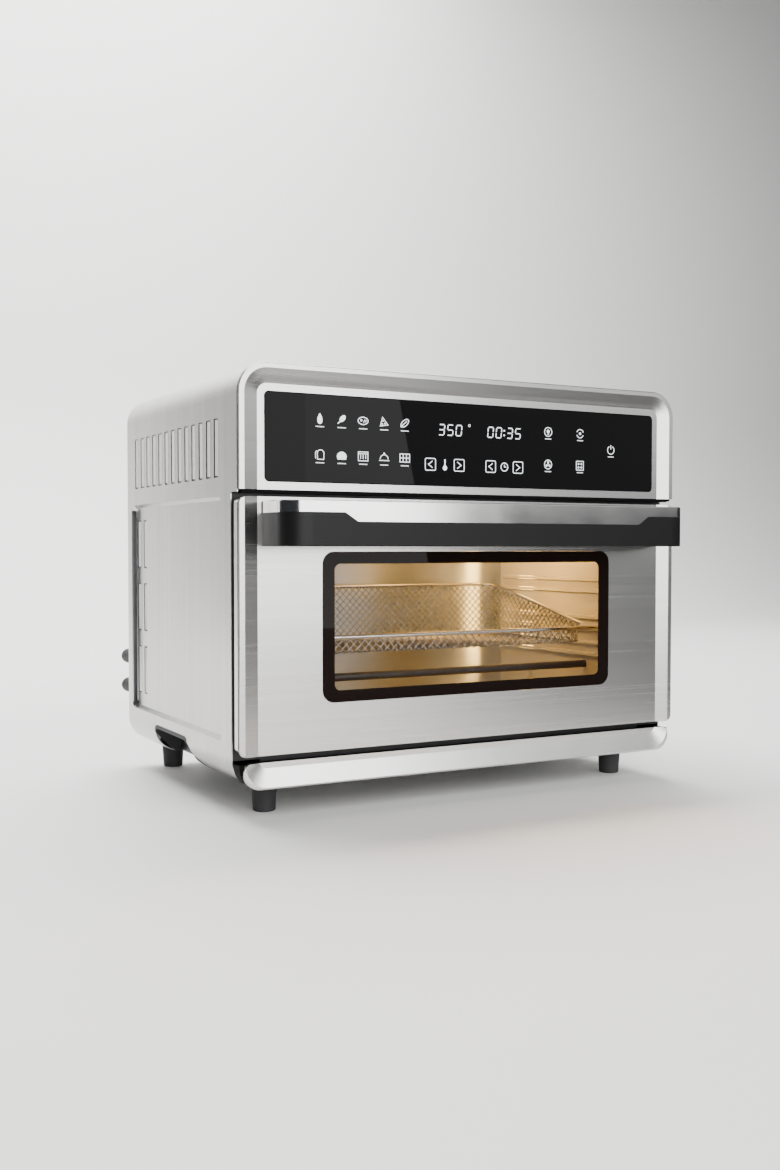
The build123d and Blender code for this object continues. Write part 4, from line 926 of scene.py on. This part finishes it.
class OVEN_OT_line_grips(bpy.types.Operator):
    """Line the grip cut-outs in the lower edges of the sides"""
    bl_idname = "oven.line_grips"
    bl_label = "Grip linings"

    def execute(self, context):
        left = self.lining(context.scene.oven_grip)
        points, faces = left
        right = (points * (-1, 1, 1), [face[::-1] for face in faces])
        plastic = moulded_plastic("moulded_grip_plastic", context.scene.oven_finish.grip, roughness=0.5)
        piece("grip_linings", joined([left, right]), "casing", plastic, smooth=False)
        return {"FINISHED"}

    def lining(self, grip):
        """A band inside the left cut-out, from just under the casing's surface in to the base pan.

        The path is the cut-out's outline moved in by half the band, its corners rounded. Its outer edge
        follows the casing, of half width W: x = -(W - R) - sqrt(R * R - (R - h) ** 2) at a height h above
        the bottom, up to the corner radius R, and -W above it.
        """
        inset = grip.play + grip.thick / 2
        high = grip.top - inset
        radius = grip.top_radius - inset
        # The two corners on the slope move by the shares of the inset that keep the band even along it
        shoulder = (grip.front + 0.4 * inset, high)
        heel = (grip.heel_y + 0.9 * inset, grip.heel_z - 0.55 * inset)
        rear = grip.rear - inset
        corners = [(rear, grip.low), (rear, high), shoulder, heel, (grip.toe, grip.low)]
        path = rounded(corners, (0, radius, radius, grip.toe_radius, 0))
        points, faces = stroke(path, grip.thick, False, CAD_LOW.x, -PAN_RIGHT - grip.play)
        points = points[:, (1, 0, 2)]
        height = np.clip(points[:, 2] - WRAP_BOTTOM, 0, grip.corner)
        shell = CAD_LOW.x + grip.corner - np.sqrt(grip.corner ** 2 - (grip.corner - height) ** 2)
        points[:, 0] = np.maximum(points[:, 0], shell + grip.sunk)
        return points, [face[::-1] for face in faces]


class OVEN_OT_light_display(bpy.types.Operator):
    """Draw the digits and the arrow keys on the touch glass"""
    bl_idname = "oven.light_display"
    bl_label = "Display and keys"

    def execute(self, context):
        panel = context.scene.oven_panel
        weight = panel.line / MM
        marks = []
        for text, first in zip(("350", "00", "35"), panel.digit_columns):
            for place, character in enumerate(text):
                marks += at(digit(character, panel), first + place * panel.digit_step, panel.display_row)
        dot = [(ring(panel.colon_radius / MM, steps=10), FILL)]
        for side in (-1, 1):
            marks += at(dot, panel.colon[0], panel.display_row + side * panel.colon[1])
        degree = [(ring(panel.degree_radius / MM, steps=14), -panel.degree_line / MM)]
        marks += at(degree, panel.degree[0], panel.display_row + panel.degree[1])
        for middle, sign in zip(panel.key_columns, (thermometer, clock)):
            marks += at(sign(weight), middle, panel.key_row)
            for direction in (-1, 1):
                key = arrow_key(panel.key_size / MM, direction, weight)
                marks += at(key, middle + direction * panel.key_reach, panel.key_row)
        ink = lit_mark("lit_display_marks", context.scene.oven_finish.marks, strength=1.0)
        piece("display_marks", drawn(marks, panel.raised), "casing", ink, smooth=False)
        return {"FINISHED"}


class OVEN_OT_print_signs(bpy.types.Operator):
    """Draw the cooking signs and the round signs on the touch glass"""
    bl_idname = "oven.print_signs"
    bl_label = "Signs"

    def execute(self, context):
        panel = context.scene.oven_panel
        weight = panel.line / MM
        dash, round_dash = ([(bar(*size) / MM, FILL)] for size in (panel.dash, panel.round_dash))
        rows = (panel.upper_row, panel.lower_row)
        marks = []
        dashes = []
        for row, signs in zip(rows, (UPPER_SIGNS, LOWER_SIGNS)):
            for column, sign in enumerate(signs):
                x = panel.left_column + column * panel.column_step
                marks += at(sign(weight), x, row + panel.sign_lift)
                dashes += at(dash, x, row - panel.dash_drop)
        places = [(x, row) for x in panel.round_columns for row in rows] + [tuple(panel.power)]
        for (x, row), sign in zip(places, ROUND_SIGNS):
            marks += at(sign(weight), x, row)
            dashes += at(round_dash, x, row - panel.round_drop)
        ink = lit_mark("lit_sign_marks", context.scene.oven_finish.marks, strength=0.75)
        faint = lit_mark("lit_sign_dashes", context.scene.oven_finish.marks, strength=0.28)
        piece("sign_marks", drawn(marks, panel.raised), "casing", ink, smooth=False)
        piece("sign_dashes", drawn(dashes, panel.raised), "casing", faint, smooth=False)
        return {"FINISHED"}


class OVEN_OT_turn_screws(bpy.types.Operator):
    """Turn the pan-head screws of the rear cover"""
    bl_idname = "oven.turn_screws"
    bl_label = "Rear screws"

    def execute(self, context):
        screw = context.scene.oven_screw
        columns = (SCREWS_LOW.x + screw.radius, 0.0, SCREWS_HIGH.x - screw.radius)
        rows = (SCREWS_LOW.z + screw.radius, SCREWS_HIGH.z - screw.radius)
        places = [(x, z) for x in columns for z in rows]
        shape = joined([self.head(screw, x, z, index * screw.twist) for index, (x, z) in enumerate(places)])
        steel = bright_steel("zinc_plated_screw", context.scene.oven_finish.screw, roughness=0.22)
        piece("rear_screw_heads", shape, "casing", steel, ("rear_screws",), smooth=False)
        return {"FINISHED"}

    def head(self, screw, x, z, spin):
        """A pan head of radius R by radius r and angle a: height 1 - crown * (r / R) ** 4, in head heights.

        It is sunk in a cross where |r cos a| or |r sin a| is small, and its last ring is its foot.
        """
        depth = SCREWS_HIGH.y - SCREWS_LOW.y
        r = np.array(HEAD_RINGS) * screw.radius
        a = np.arange(HEAD_SIDES) * 2 * math.pi / HEAD_SIDES
        u = np.abs(r[:, None] * np.cos(a))
        v = np.abs(r[:, None] * np.sin(a))
        cross = (np.minimum(u, v) < screw.cross_half) & (np.maximum(u, v) < screw.cross_reach)
        height = 1 - screw.crown * (r[:, None] / screw.radius) ** 4 - np.where(cross, screw.cross_depth, 0)
        height[-1] = 0.0
        points = np.stack([x + r[:, None] * np.cos(a + spin), SCREWS_LOW.y + depth * height,
                           z + r[:, None] * np.sin(a + spin)], axis=2)
        faces = grid_faces(len(r), HEAD_SIDES, False, True).tolist()
        back = (len(r) - 1) * HEAD_SIDES
        caps = [list(range(HEAD_SIDES))[::-1], list(range(back, back + HEAD_SIDES))]
        return points.reshape(-1, 3), faces + caps


class OVEN_OT_stage(bpy.types.Operator):
    """Set the floor, the soft lights and the camera"""
    bl_idname = "oven.stage"
    bl_label = "Studio"

    def execute(self, context):
        studio = context.scene.oven_studio
        self.floor(context, studio)
        self.room(context, studio)
        for name, (place, turn, size, power) in CARDS.items():
            card = bpy.data.lights.new(name, "AREA")
            card.shape = "RECTANGLE"
            card.size, card.size_y = size
            card.energy = power
            self.hang(context, card, place, [math.radians(angle) for angle in turn])
        self.oven_lamp(context, studio)
        self.camera(context, studio)
        return {"FINISHED"}

    def floor(self, context, studio):
        """A sweep of paper: level floor, a quarter bend, then a wall, carried across in X."""
        half_width, near, top = studio.sweep
        start, radius = studio.bend
        bend = arc(radius, -90, 0, 14, (start, radius))
        profile = np.concatenate([[(near, 0.0)], bend, [(start + radius, top)]])
        sides = [np.insert(profile, 0, x, axis=1) for x in (-half_width, half_width)]
        quads = grid_faces(2, len(profile), False, False)
        mesh = bpy.data.meshes.new("studio_sweep")
        mesh.from_pydata(np.concatenate(sides).tolist(), [], quads.tolist())
        mesh.polygons.foreach_set("use_smooth", np.full(len(mesh.polygons), True))
        # The paper's grey ends are painted shade for the steel to mirror
        mesh.materials.append(graduated_paper("painted_shade_studio_paper", studio))
        sweep = bpy.data.objects.new("studio_sweep", mesh)
        context.scene.collection.objects.link(sweep)

    def room(self, context, studio):
        """One even colour for the room beyond the lights."""
        world = bpy.data.worlds.new("room")
        world.use_nodes = True
        world.node_tree.nodes["Background"].inputs["Color"].default_value = linear(studio.room)
        context.scene.world = world

    def hang(self, context, light, place, turn):
        """An object for a light, turned from facing down."""
        lamp = bpy.data.objects.new(light.name, light)
        lamp.location = place
        lamp.rotation_euler = turn
        context.scene.collection.objects.link(lamp)
        return lamp

    def oven_lamp(self, context, studio):
        """Warm light: a tall strip that the back mirrors as a streak, a glow, and a wash down the wall."""
        cover = np.array([LAMP_LOW.x, (LAMP_LOW.y + LAMP_HIGH.y) / 2, (LAMP_LOW.z + LAMP_HIGH.z) / 2])
        streak = bpy.data.lights.new("oven_streak", "AREA")
        streak.shape = "RECTANGLE"
        streak.size, streak.size_y = studio.streak_size
        streak.energy = studio.streak_power
        glow = bpy.data.lights.new("oven_glow", "POINT")
        glow.shadow_soft_size = studio.glow_radius
        glow.energy = studio.glow_power
        wash = bpy.data.lights.new("oven_wash", "POINT")
        wash.shadow_soft_size = studio.wash_radius
        wash.energy = studio.wash_power
        places = ((streak, studio.streak_place), (glow, studio.glow_place), (wash, studio.wash_place))
        for light, place in places:
            light.color = linear(studio.lamp)[:3]
            lamp = self.hang(context, light, cover + np.array(place), (0.0, math.pi / 2, 0.0))
            lamp.visible_camera = False
            lamp.visible_glossy = light is streak

    def camera(self, context, studio):
        """The eye, turned from looking down -Z to the horizon, then tilted and turned."""
        data = bpy.data.cameras.new("eye")
        data.lens = studio.lens
        data.sensor_width = studio.sensor
        eye = bpy.data.objects.new("eye", data)
        eye.location = studio.eye
        eye.rotation_euler = (math.pi / 2 + studio.pitch, 0.0, -studio.yaw)
        context.scene.collection.objects.link(eye)
        context.scene.camera = eye


class OVEN_PT_panel(bpy.types.Panel):
    """Lists the oven's pieces in the sidebar"""
    bl_idname = "OVEN_PT_panel"
    bl_label = "Countertop Oven"
    bl_space_type = "VIEW_3D"
    bl_region_type = "UI"
    bl_category = "Oven"

    def draw(self, context):
        for operator in OPERATORS:
            self.layout.operator(operator.bl_idname)


GROUPS = {"oven_finish": OvenFinish, "oven_panel": OvenPanel, "oven_basket": OvenBasket,
          "oven_grip": OvenGrip, "oven_screw": OvenScrew, "oven_studio": OvenStudio}
OPERATORS = (OVEN_OT_dress_steel, OVEN_OT_dress_bright, OVEN_OT_dress_cavity, OVEN_OT_dress_dark,
             OVEN_OT_dress_works, OVEN_OT_weave_basket, OVEN_OT_line_grips, OVEN_OT_light_display,
             OVEN_OT_print_signs, OVEN_OT_turn_screws, OVEN_OT_stage)


def register():
    """Register the settings, the operators and the panel."""
    for name, group in GROUPS.items():
        bpy.utils.register_class(group)
        setattr(bpy.types.Scene, name, PointerProperty(type=group))
    for operator in OPERATORS:
        bpy.utils.register_class(operator)
    bpy.utils.register_class(OVEN_PT_panel)


def unregister():
    """Undo register."""
    bpy.utils.unregister_class(OVEN_PT_panel)
    for operator in reversed(OPERATORS):
        bpy.utils.unregister_class(operator)
    for name, group in GROUPS.items():
        delattr(bpy.types.Scene, name)
        bpy.utils.unregister_class(group)


def main():
    """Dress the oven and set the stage."""
    register()
    for operator in OPERATORS:
        family, name = operator.bl_idname.split(".")
        getattr(getattr(bpy.ops, family), name)()


if __name__ == "__main__":
    main()
